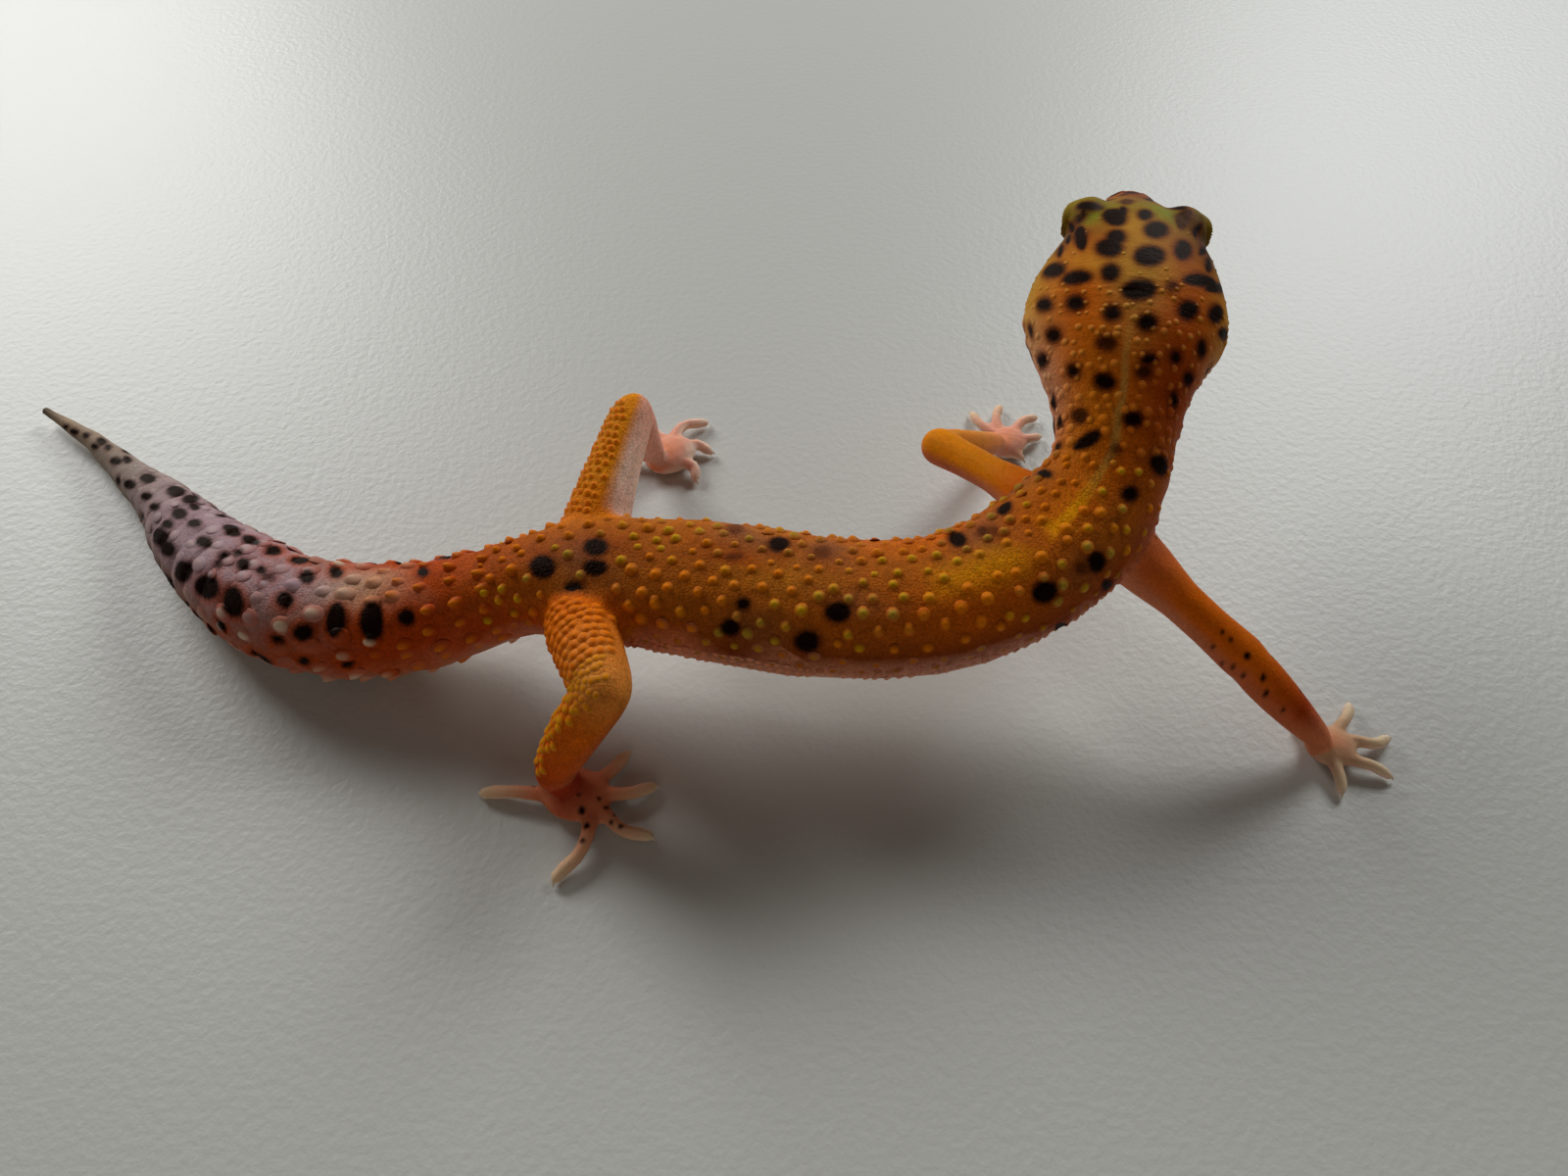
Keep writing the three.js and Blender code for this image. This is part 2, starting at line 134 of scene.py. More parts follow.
# Dark spots of the tail, back, neck and head: distance along the backbone, degrees round the body from the
# middle of the back towards the right, half length and half width, turn in degrees, and how dark, 0 to 1.
SPOTS = np.array([
    (6, 48, 0.7, 0.3, -30, 1), (8, 40, 0.9, 0.4, -15, 1), (10.5, 12, 0.7, 0.4, 0, 1),
    (13.5, -12, 1.1, 0.6, 15, 1), (13.5, 30, 0.8, 0.4, -15, 1), (15.5, -8, 0.8, 0.4, 15, 1),
    (19, 12, 1.1, 0.6, -15, 1), (20, -20, 1.1, 0.5, 15, 1), (25, 36, 1.5, 0.6, -15, 1),
    (26.5, -8, 1.5, 0.8, 0, 1), (30, 26, 1.2, 0.5, -15, 1), (31.5, 66, 1.3, 0.6, -30, 1),
    (32, -28, 1.7, 1, 15, 1), (33.5, 24, 1.2, 0.5, -15, 1), (35, -36, 1.6, 0.9, 30, 1),
    (37.5, -30, 1.3, 0.6, 15, 1), (38, -4, 1.5, 0.8, 0, 1), (38.5, 20, 1.1, 0.6, -15, 1),
    (39, 40, 1.9, 1, -15, 1), (41.5, -8, 1.2, 0.7, 0, 1), (41.5, 42, 1.6, 0.9, -15, 1),
    (45.5, 4, 1.2, 0.7, 0, 1), (46, 48, 1.7, 1.2, -30, 1), (46, -32, 2, 0.8, 15, 1),
    (49.5, 4, 0.7, 0.5, 0, 1), (49.5, -32, 1.5, 0.8, 15, 1), (50, 16, 0.6, 0.4, 15, 1),
    (50.5, -8, 0.7, 0.5, 15, 1), (50.5, 44, 2, 1.3, -15, 1), (52.5, 0, 1, 0.7, 15, 1),
    (53, -36, 1.3, 0.9, 30, 1), (54.5, 40, 1.7, 1.3, 45, 1), (55, -4, 0.7, 0.5, 15, 1),
    (56.5, 0, 0.9, 0.6, 0, 0.6), (57.5, -38, 1.5, 0.9, 15, 1), (59.5, 20, 1, 0.8, 45, 1),
    (60.5, -12, 1.2, 0.8, 45, 1), (61.5, 84, 0.9, 0.5, -60, 1), (62, 50, 1.1, 0.9, -30, 1),
    (63.5, -24, 1.3, 0.7, 45, 1), (65.5, 36, 1.2, 1.9, 0, 1), (66, 84, 0.8, 0.5, -45, 1),
    (69.5, 38, 1.3, 2.1, 0, 1), (73.5, 38, 1, 0.9, 15, 1), (75.5, -16, 1, 0.6, 45, 1),
    (89, 24, 1.5, 1.2, 45, 1), (94, 4, 1.3, 1.1, 45, 1), (94.5, 28, 1.2, 0.9, 0, 1),
    (92.5, 50, 1.1, 0.9, 0, 1),
    (107, -42, 1.5, 0.8, 75, 0.4), (108, 0, 1, 0.4, -15, 0.5), (109, 64, 1, 0.9, -45, 1),
    (110, 44, 0.7, 0.6, 0, 1), (112, -24, 1.2, 1, 90, 1), (116.5, 66, 1.2, 1.1, -60, 1),
    (116.5, -22, 0.9, 0.9, -15, 0.4), (119, 40, 1.2, 1, 0, 1), (132, -30, 1.3, 1, -75, 1),
    (135, -26, 0.7, 0.5, -60, 0.6), (136, -20, 0.8, 0.6, 15, 0.4), (137, 54, 1.3, 1.1, 15, 1),
    (138, 106, 2, 0.5, 75, 1), (139.5, -40, 1.3, 0.8, -30, 1), (141, 52, 0.6, 0.5, 75, 0.5),
    (142.5, 84, 1.2, 0.5, 75, 1), (142.5, 56, 1.1, 0.9, -75, 1), (147, -48, 1.2, 0.7, -75, 1),
    (149.5, 36, 0.8, 0.8, 75, 1), (153, 48, 1.4, 0.8, -75, 1), (153.5, -2, 0.5, 0.4, -75, 0.5),
    (154, -34, 1.5, 0.8, 45, 1), (156.5, -46, 0.9, 0.7, -75, 0.8), (156.5, 8, 0.9, 0.7, 90, 1),
    (159, 46, 0.7, 0.4, -30, 1), (160, -26, 1, 0.7, -75, 1), (161, -52, 0.6, 0.5, -75, 1),
    (161, 12, 0.7, 0.5, 90, 0.8), (161, 56, 0.7, 0.6, -75, 1), (162, 16, 0.7, 0.4, 75, 1),
    (162.5, -80, 1, 0.5, -90, 1), (162.5, 40, 0.5, 0.5, 0, 1), (163, -24, 0.9, 0.5, 90, 0.8),
    (164, -64, 0.8, 0.6, -75, 1), (164, 60, 0.8, 0.6, -30, 1), (165, 12, 0.9, 0.7, 75, 1),
    (165.5, -20, 0.8, 0.7, 75, 1), (166.5, -48, 0.8, 0.7, -75, 1), (167, 44, 1, 0.8, 30, 1),
    (167, 76, 1.3, 0.6, 60, 1), (167, -68, 1, 0.6, -60, 1), (168, 2, 1.7, 1, 75, 1),
    (168, 64, 1.3, 0.8, 30, 1), (169, 30, 0.5, 0.4, 45, 0.6), (169, -48, 1.3, 0.7, -90, 1),
    (169.5, -24, 0.9, 0.8, 15, 1), (170.5, -64, 1.4, 0.8, -60, 1), (171, 52, 2.1, 0.7, 60, 1),
    (171.5, 64, 2.1, 0.5, 45, 1), (172, 8, 1.6, 1.2, 60, 1), (172.5, -28, 1.3, 1.2, -45, 1),
    (173.5, -64, 1.5, 0.3, -15, 1), (174, -24, 1.2, 0.9, 0, 1), (174, 36, 1.5, 0.8, 15, 1),
    (174, 58, 1.4, 0.4, 15, 1), (175, -52, 2.8, 0.6, -15, 1), (175.5, -62, 1.5, 0.3, -15, 1),
    (176, 12, 1.5, 1.1, 30, 1), (176, 56, 1.8, 0.3, 30, 1), (178, -28, 2.1, 1.1, -15, 1),
    (178.5, -64, 1.5, 0.3, -15, 1), (178.5, 52, 1.4, 0.3, 15, 1), (178.5, 2, 1.2, 0.7, 15, 1),
    (179, -56, 0.5, 0.3, 15, 1), (179, -20, 1.3, 0.4, 0, 1), (179.5, -52, 0.6, 0.2, 15, 1),
    (179.5, 40, 2.3, 0.6, 15, 0.7), (180.5, -48, 1.1, 0.7, -75, 1), (182.5, -16, 1.5, 0.6, 0, 0.6),
    (182.5, 40, 1, 0.5, -15, 1), (186, 20, 1.3, 0.5, 15, 1), (188, -24, 0.8, 0.4, 15, 0.8),
    (190, -8, 1, 0.8, 0, 1), (192.5, 22, 0.6, 0.4, 30, 1),
])
# Spots scattered over the animal's other sides: how many, between which distances, degrees and half
# lengths, and the least gap to the next spot.
SCATTERED = [
    (9, (88, 150), (-98, -50), (0.9, 1.5), 2.2), (7, (152, 166), (-100, -62), (0.6, 0.9), 1.0),
    (5, (152, 164), (66, 98), (0.6, 0.9), 1.0), (34, (14, 78), (-112, -42), (0.7, 1.5), 0.9),
    (14, (20, 60), (55, 110), (0.6, 1.2), 0.9), (10, (184, 193.5), (-70, 70), (0.35, 0.6), 0.8),
    (14, (174, 192), (-105, -75), (0.3, 0.55), 0.7), (14, (174, 192), (75, 105), (0.3, 0.55), 0.7),
]
# The distance to a spot's edge that is read where no spot is near.
NO_SPOT = 3.0

# The animal's skin tones, and one amber tone of painted light for the left side of the neck.
TONES = {
    "ash": "a28c74", "stone": "9e8e84", "lilac": "ae9298", "taupe": "8c6f68", "mauve": "a8786a",
    "rose": "bc7460", "rust": "a0441c", "brick": "b0400e", "ember": "bc4806", "saddle": "a44e0a",
    "orange": "be6818", "amber": "d8680a", "flame": "e8700a", "marigold": "ea8c10", "apricot": "e48e3a",
    "tan": "b87c24", "olive": "86681a", "copper": "b85e10", "wheat": "c08838", "wood": "9c5c1c",
    "bark": "4a2c10", "umber": "7e3610", "russet": "9c400a", "tangerine": "d4580a", "rosewood": "b03a20",
    "coral": "cd6a40", "clay": "b07a58", "salmon": "d27e58", "peach": "f0956a", "pink": "e8a48c",
    "blush": "d8a88c", "sand": "d0aa88", "beige": "e8d2ae", "petal": "f2d2bc", "shell": "d5c0b4",
    "cream": "e6c9b7", "gold": "d0942a", "moss": "7c8c20", "lemon": "967e1e", "sunlit": "f09c08",
    "painted_light_amber": "e88410", "straw": "d29e48", "dusk": "5c5044", "spot": "160603", "halo": "6a240a",
}
# Tones by distance along the backbone, and round it at each of the angles.
TONE_ANGLES = [0, 45, 84, 106, 150]
BODY_TONES = [
    (0, "dusk", "dusk", "dusk", "stone", "shell"),
    (5, "ash", "ash", "ash", "stone", "shell"),
    (20, "stone", "stone", "stone", "stone", "shell"),
    (38, "lilac", "lilac", "taupe", "stone", "shell"),
    (50, "lilac", "lilac", "mauve", "rose", "shell"),
    (60, "lilac", "mauve", "rust", "rose", "shell"),
    (68, "sand", "brick", "brick", "coral", "blush"),
    (76, "ember", "brick", "brick", "coral", "blush"),
    (90, "saddle", "orange", "russet", "coral", "cream"),
    (110, "saddle", "orange", "umber", "peach", "cream"),
    (130, "orange", "amber", "umber", "pink", "cream"),
    (145, "amber", "orange", "russet", "salmon", "cream"),
    (153, "amber", "copper", "coral", "blush", "cream"),
    (160, "amber", "ember", "salmon", "blush", "cream"),
    (168, "wheat", "amber", "gold", "blush", "cream"),
    (175, "tan", "wood", "olive", "blush", "cream"),
    (182, "olive", "olive", "olive", "blush", "cream"),
    (188, "umber", "wood", "wood", "blush", "cream"),
    (195, "umber", "umber", "umber", "clay", "cream"),
]
# Tones of each limb by joint: 0 at the body, 1 at the elbow or knee, 2 at the wrist or ankle, 3 at the
# toes' roots and 4 at their tips. Columns: upper side and under side.
LIMB_TONES = {
    "hind_right": [(0, "tangerine", "coral"), (0.5, "flame", "coral"), (1.0, "apricot", "amber"),
                   (1.3, "amber", "coral"), (1.8, "tangerine", "coral"), (2.3, "rosewood", "salmon"),
                   (3.0, "salmon", "blush"), (4.0, "beige", "petal")],
    "hind_left": [(0, "flame", "pink"), (0.5, "marigold", "petal"), (1.0, "marigold", "pink"),
                  (1.5, "peach", "pink"), (2.0, "peach", "pink"), (3.0, "pink", "petal"),
                  (4.0, "petal", "petal")],
    "front_right": [(0, "coral", "salmon"), (0.5, "flame", "salmon"), (1.0, "flame", "coral"),
                    (1.6, "brick", "coral"), (2.1, "peach", "salmon"), (3.0, "sand", "blush"),
                    (3.5, "beige", "petal"), (4.0, "petal", "petal")],
    "front_left": [(0, "tangerine", "salmon"), (0.5, "marigold", "salmon"), (1.0, "marigold", "coral"),
                   (1.6, "apricot", "peach"), (2.1, "peach", "pink"), (3.0, "pink", "petal"),
                   (4.0, "beige", "petal")],
}
# How far a limb's surface has to face its coloured side to take some and all of the upper side's tone.
LIT_RANGE = {
    "hind_right": (-0.55, 0.15), "hind_left": (-0.1, 0.35),
    "front_right": (0, 0.65), "front_left": (-0.2, 0.5),
}
# The way the coloured upper side of a limb faces, where it isn't straight up.
UPPER_SIDE = {"hind_left": (-0.8, 0.1, 0.55)}
# The pale stripe down the backbone: distance along it, degrees to its right, half width, strength and tone.
STRIPE = [
    (98, 8, 0.5, 0, "gold"), (112, 15, 0.5, 0.25, "gold"), (121, 18, 0.55, 0.5, "sunlit"),
    (132, 19, 0.6, 0.8, "sunlit"), (139, 14, 0.65, 0.95, "sunlit"), (146, 6, 0.6, 0.95, "sunlit"),
    (152, -5, 0.42, 0.8, "wheat"), (157, -8, 0.36, 0.75, "straw"), (162, -7, 0.34, 0.55, "straw"),
    (166, 0, 0.34, 0, "straw"),
]

# Small dark freckles of the right forearm and foot: their place and radius.
FRECKLES = np.array([
    (60.4, -16.4, 13.6, .2), (61.2, -17.1, 13.3, .22), (62.8, -18.5, 12.5, .36), (59.6, -17.3, 12.3, .18),
    (61.6, -19.0, 11.2, .18), (62.7, -19.6, 10.5, .18), (63.8, -18.9, 8.6, .28), (64.6, -20.0, 10.9, .34),
    (66.2, -17.4, 10.8, .3), (64.6, -16.4, 12.0, .2), (65.1, -20.9, 9.2, .26), (67.1, -21.9, 7.7, .16),
    (60.7, -18.3, 10.6, .18), (69.3, -19.9, 8.3, .2), (-4.2, -30.5, 2.4, .4), (-3.6, -32.1, 2.2, .34),
    (-3.9, -33.6, 2.0, .27), (-1.8, -30.0, 2.1, .26), (-0.9, -30.7, 1.8, .2), (-0.2, -32.0, 2.0, .26),
    (-9.5, -27.4, 1.9, .2), (-2.6, -29.2, 2.4, .2), (-1.2, -31.6, 2.0, .2), (1.6, -33.6, 1.6, .26),
    (-4.6, -29.0, 2.6, .22),
])
# Soft patches: distance along the backbone, degrees round it, half length, half width, strength and tone.
PATCHES = [
    (107.5, -36, 2.6, 2.2, .45, "dusk"), (110.5, -24, 2.4, 1.5, .32, "dusk"),
    (117.2, -30, 3.2, 2.2, .5, "dusk"), (121, 30, 3.4, 1.6, .35, "dusk"),
    (123.5, 44, 2.6, 1.6, .32, "dusk"), (134, -24, 3.0, 2.0, .45, "dusk"),
    (137, -40, 2.2, 2.0, .32, "dusk"), (92.6, 22, 2.2, 3.0, .38, "dusk"), (97, 40, 2.0, 2.0, .2, "dusk"),
    (112, 60, 3.0, 2.0, .3, "dusk"), (141, 56, 2.6, 2.0, .3, "dusk"), (98, -62, 3.0, 2.4, .3, "dusk"),
    (126, -70, 3.2, 2.4, .3, "dusk"), (145, -66, 2.6, 2.2, .25, "dusk"),
    # The first patch on the next line is painted light: it brightens the left side of the neck.
    (157, -46, 8.0, 4.2, .85, "painted_light_amber"), (159, 46, 7.5, 4.0, .7, "russet"), (160, -82, 6.0, 2.6, .5, "sand"),
    (170.3, 8, 1.7, 3.2, .6, "gold"), (170.6, -38, 1.7, 3.0, .6, "gold"), (175.5, -12, 2.6, 1.8, .5, "gold"),
    (180.0, 27, 2.4, 2.2, .75, "moss"), (179.4, -44, 2.4, 2.2, .75, "moss"),
    (182.5, 66, 3.2, 2.4, .7, "lemon"), (182.5, -66, 3.2, 2.4, .7, "lemon"),
    (177.2, 58, 2.6, 1.6, .9, "bark"), (177.2, -64, 2.0, 1.4, .8, "bark"),
    (180.5, 50, 2.0, 1.2, .6, "bark"), (179.0, 70, 1.3, 2.4, .8, "bark"), (179.0, -70, 1.3, 2.4, .8, "bark"),
]


def linear(code):
    """An sRGB hex colour as linear red, green and blue."""
    shares = [int(code[i:i + 2], 16) / 255 for i in (0, 2, 4)]
    return np.array([s / 12.92 if s <= 0.04045 else ((s + 0.055) / 1.055) ** 2.4 for s in shares])


def tone(name):
    return linear(TONES[name])


# ---- Reading curves ----

def distances(points):
    return np.r_[0, np.cumsum(np.linalg.norm(np.diff(points, axis=0), axis=1))]


def smooth_reading(places, rows, at):
    """Rows of numbers at rising places, read smoothly at the places asked for."""
    places, rows, at = (np.asarray(v, float) for v in (places, rows, at))
    step = np.diff(places)
    slope = np.diff(rows, axis=0) / step[:, None]
    lean = np.vstack([slope[:1], (slope[1:] + slope[:-1]) / 2, slope[-1:]])
    at = np.clip(at, places[0], places[-1])
    i = np.clip(np.searchsorted(places, at, side="right") - 1, 0, len(places) - 2)
    t = ((at - places[i]) / step[i])[:, None]
    h = step[i][:, None]
    return ((2 * t**3 - 3 * t**2 + 1) * rows[i] + (t**3 - 2 * t**2 + t) * h * lean[i]
            + (3 * t**2 - 2 * t**3) * rows[i + 1] + (t**3 - t**2) * h * lean[i + 1])


def ease(low, high, value):
    """0 below low, 1 above high, and a smooth step between."""
    t = np.clip((np.asarray(value, float) - low) / (high - low), 0, 1)
    return t * t * (3 - 2 * t)


def bell(value, width):
    return np.exp(-((np.asarray(value, float) / width) ** 2))


def unit(rows):
    """One arrow or rows of arrows, each brought to length 1."""
    return rows / np.linalg.norm(rows, axis=-1, keepdims=True)


def nearest_of(samples, points):
    """For each point, which of the samples is nearest."""
    return np.argmin((samples**2).sum(1) - 2 * points @ samples.T, axis=1)


# How many points are compared with an axis at a time, which keeps the memory small.
BLOCK = 40000


class Axis:
    """A curve through points, with its heading, right-hand side and upward direction along it."""

    def __init__(self, points, spacing=0.25):
        points = np.asarray(points, float)
        marks = distances(points)
        self.at = np.arange(0, marks[-1] + spacing, spacing)
        self.point = smooth_reading(marks, points, self.at)
        ahead = smooth_reading(marks, points, self.at + 0.4) - smooth_reading(marks, points, self.at - 0.4)
        self.heading = unit(ahead)
        self.right = unit(np.cross(self.heading, [0, 0, 1]))
        self.up = np.cross(self.right, self.heading)

    def place(self, points):
        """Where points lie: distance along the axis, and how far to its right and above it."""
        nearest = np.concatenate([
            nearest_of(self.point, points[start:start + BLOCK]) for start in range(0, len(points), BLOCK)])
        away = points - self.point[nearest]
        along = (away * self.heading[nearest]).sum(1)
        aside = (away * self.right[nearest]).sum(1)
        above = (away * self.up[nearest]).sum(1)
        return self.at[nearest] + along, aside, above

    def frame(self, at):
        i = int(np.clip(round(at / (self.at[1] - self.at[0])), 0, len(self.at) - 1))
        rest = at - self.at[i]
        return self.point[i] + self.heading[i] * rest, self.heading[i], self.right[i], self.up[i]


backbone = Axis(SPINE)


def polar(aside, above):
    """The degrees round the backbone, from straight up towards the right, and the distance from it."""
    return np.degrees(np.arctan2(aside, above)), np.hypot(aside, above)


def beside(at, aside, above):
    point, _, right, up = backbone.frame(at)
    return point + right * aside + up * above


def body_radius(at, angle):
    """The body's expected half thickness in a direction round the backbone, in degrees."""
    wide, high, low = smooth_reading(GIRTH[:, 0], GIRTH[:, 1:], np.atleast_1d(at)).T
    turn = np.radians(angle)
    tall = np.where(np.cos(turn) > 0, high, low)
    return 1 / np.sqrt((np.sin(turn) / wide) ** 2 + (np.cos(turn) / tall) ** 2)


# ---- Casting the skin ----

FLESH = [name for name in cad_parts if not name.startswith("eye_")]


def new_object(name, mesh):
    made = bpy.data.objects.new(name, mesh)
    bpy.context.scene.collection.objects.link(made)
    return made


def mesh_of(modelled, name):
    mesh = bpy.data.meshes.new(name)
    modelled.to_mesh(mesh)
    modelled.free()
    return mesh


def applied(thing):
    """The object's mesh with its modifiers applied, in a mesh of its own."""
    settled = thing.evaluated_get(bpy.context.evaluated_depsgraph_get())
    mesh = bpy.data.meshes.new_from_object(settled)
    thing.modifiers.clear()
    thing.data = mesh
    return thing


def vertex_places(mesh):
    places = np.empty(len(mesh.vertices) * 3)
    mesh.vertices.foreach_get("co", places)
    return places.reshape(-1, 3) / MM


def set_places(mesh, places):
    mesh.vertices.foreach_set("co", (places * MM).astype(np.float32).ravel())
    mesh.update()


def vertex_normals(mesh):
    normals = np.empty(len(mesh.vertices) * 3, np.float32)
    mesh.vertex_normals.foreach_get("vector", normals)
    return normals.reshape(-1, 3).astype(float)


def mesh_edges(mesh):
    edges = np.empty(len(mesh.edges) * 2, np.int32)
    mesh.edges.foreach_get("vertices", edges)
    return edges.reshape(-1, 2)


def averaged(values, edges, rounds):
    """Values on the vertices, spread over their neighbours."""
    a, b = edges.T
    count = np.bincount(edges.ravel(), minlength=len(values))
    for _ in range(rounds):
        total = np.bincount(a, values[b], len(values)) + np.bincount(b, values[a], len(values))
        values = 0.5 * values + 0.5 * total / count
    return values


def grade(thing, name, weights):
    """A vertex group whose weights follow the numbers given, in twentieths."""
    group = thing.vertex_groups.new(name=name)
    level = np.round(np.clip(weights, 0, 1) * 20).astype(int)
    for step in range(1, 21):
        group.add(np.flatnonzero(level == step).tolist(), step / 20, "REPLACE")


def eye_frame(side):
    """The eyeball's centre, the way it looks, its forward and its upward direction."""
    _, heading, right, up = backbone.frame(EYE_AT)
    turn = math.radians(EYE_FORWARD)
    facing = right * side * math.cos(turn) + heading * math.sin(turn)
    forward = heading * math.cos(turn) - right * side * math.sin(turn)
    return beside(EYE_AT, side * EYE_ASIDE, EYE_ABOVE), facing, forward, up


def cast_skin():
    """One closed skin round the flesh nodes, with the eye sockets plugged."""
    joined = bmesh.new()
    for name in FLESH:
        piece = bmesh.new()
        piece.from_mesh(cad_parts[name].data)
        bmesh.ops.remove_doubles(piece, verts=piece.verts, dist=1e-6)
        piece.normal_update()
        for vertex in piece.verts:
            vertex.co += vertex.normal * GROWTH * MM
        joined.from_mesh(mesh_of(piece, name + "_grown"))
    for side in (1, -1):
        centre = Vector(eye_frame(side)[0] * MM)
        bmesh.ops.create_icosphere(
            joined, subdivisions=3, radius=(EYE_BALL + 0.2) * MM, matrix=Matrix.Translation(centre))
    skin = new_object("skin", mesh_of(joined, "skin"))
    remesh = skin.modifiers.new("cast", "REMESH")
    remesh.mode = "VOXEL"
    remesh.voxel_size = VOXEL * MM
    return applied(skin)


def flesh_finder():
    """A finder of the nearest flesh node, and the node's name for each of its faces."""
    corners, faces, owner = [], [], []
    for name in FLESH:
        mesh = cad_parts[name].data
        start = len(corners)
        corners += [v.co / MM for v in mesh.vertices]
        for face in mesh.polygons:
            faces.append([start + i for i in face.vertices])
            owner.append(name)
    return BVHTree.FromPolygons(corners, faces), owner


finder, face_owner = flesh_finder()


def nearest_node(places):
    return np.array([face_owner[finder.find_nearest(Vector(p))[2]] for p in places])


def is_limb(node):
    return any(part in node for part in ("thigh", "shank", "foot", "upper_arm", "forearm", "hand"))


class Region:
    """Where each vertex of the skin is: on the body or a limb, and how far along it."""

    def __init__(self, places, edges):
        node = nearest_node(places)
        kinds = sorted(set(node))
        code = np.searchsorted(kinds, node)

        def share(belongs, rounds=24):
            return averaged(np.array([float(belongs(kind)) for kind in kinds])[code], edges, rounds)

        self.limb = share(is_limb)
        self.foot = share(lambda kind: "foot" in kind or "hand" in kind, 12)
        self.arm = share(lambda kind: "arm" in kind or "hand" in kind)
        self.side_limb = {name: share(lambda kind: is_limb(kind) and kind.endswith(name)) for name in LIMBS}
        self.at, aside, above = backbone.place(places)
        self.angle, self.out = polar(aside, above)


# Where the five joints' rows of a limb lie along it.
JOINT_PLACES = (0, 0.5, 1, 1.5, 2)


def toe_axis(limb, toe):
    """The toe's line from inside the palm, over its arched joint, to the claw's tip."""
    root, knuckle, tip, reach = toe
    palm = np.array(limb["palm"]) + SPINE_OFFSET

    def towards(degrees, distance, height):
        turn = math.radians(degrees)
        return [palm[0] + math.cos(turn) * distance, palm[1] + math.sin(turn) * distance, height]

    return np.array([
        towards(root, reach * 0.12, palm[2]), towards(root, reach * 0.32, limb["arch"]),
        towards(knuckle, reach * 0.64, limb["arch"] * 0.85), towards(tip, reach - CLAW_LENGTH, limb["tip"]),
        towards(tip, reach, 0.3),
    ])


def limb_samples(limb):
    """Points down a limb and its toes, each with its place: 0 body, 1 knee, 2 ankle, 3 to 4 toes."""
    joints = np.array(limb["joints"])[:, :3] + SPINE_OFFSET
    palm = np.array(limb["palm"]) + SPINE_OFFSET
    t = np.linspace(0, 2, 60)
    points, places = [smooth_reading(JOINT_PLACES, joints, t)], [t]
    t = np.linspace(0, 1, 8)[:, None]
    points.append(joints[-1] * (1 - t) + palm * t)
    places.append(2 + 0.6 * t[:, 0])
    t = np.linspace(0, 1, 24)
    for toe in limb["toes"]:
        line = toe_axis(limb, toe)
        points.append(smooth_reading(distances(line) / distances(line)[-1], line, t))
        places.append(2.6 + 1.4 * t)
    return np.vstack(points), np.concatenate(places)


def limb_place(limb, places):
    points, marks = limb_samples(limb)
    return marks[nearest_of(points, places)]


# ---- Sculpting ----

def mouth_place(places):
    """How far along the jaws and above the line of the mouth."""
    point, heading, _, up = backbone.frame(MOUTH_MIDDLE)
    away = places - point
    along = MOUTH_MIDDLE + away @ heading
    lift = 0.7 * ease(178, MOUTH_CORNER, along)
    return along, away @ up + MOUTH_BELOW - lift


def body_dressing(region):
    """How deep the skin lies inside the solids at each vertex."""
    tail, trunk, neck, head = (COAT_DEPTH[part] for part in ("tail", "trunk", "neck", "head"))
    body = np.interp(region.at, [0, 8, 20, 45, 83, 95, 148, 156, 168],
                     [0.1, 0.26, 0.3, tail, tail, trunk, trunk, neck, head])
    limb = COAT_DEPTH["leg"] * (1 - region.foot) * (1 - region.arm)
    return body * (1 - region.limb) + limb * region.limb


def head_relief(places, region):
    """Mouth line, lip scales, nostrils and ear openings, as heights above the skin."""
    rise = np.zeros(len(places))
    head = region.at > 158
    along, over = mouth_place(places)
    in_mouth = head * ease(MOUTH_CORNER - 0.6, MOUTH_CORNER + 1.2, along) * (region.at < 197)
    rise -= in_mouth * MOUTH_DEPTH * bell(over, MOUTH_WIDTH)
    rise += in_mouth * LIP_SWELL * (bell(over - 0.55, 0.3) + bell(over + 0.55, 0.3))
    seam = 1 - ease(0.0, 0.3, np.abs(np.sin(math.pi * along / LIP_SCALE)))
    on_lip = ease(0.1, 0.3, np.abs(over)) * (1 - ease(1.0, 1.5, np.abs(over)))
    rise -= in_mouth * LIP_SEAM * seam * on_lip
    rise -= in_mouth * LIP_EDGE * bell(np.abs(over) - 1.35, 0.16)
    _, heading, _, up = backbone.frame(EAR_AT)
    for side in (1, -1):
        off = np.hypot(region.at - NOSTRIL_AT, np.radians(region.angle - side * NOSTRIL_TURN) * region.out)
        rise += (region.at > 188) * (NOSTRIL_RIM * bell(off - 0.85, 0.32) - NOSTRIL_DEPTH * bell(off, 0.42))
        away = places - beside(EAR_AT, side * EAR_ASIDE, EAR_ABOVE)
        oval = np.hypot(away @ heading / 0.8, away @ up / 1.5)
        near = np.linalg.norm(away, axis=1) < 4
        rise += near * (EAR_RIM * bell(oval - 1.45, 0.35) - EAR_DEPTH * (1 - ease(0.55, 1.1, oval)))
    return rise


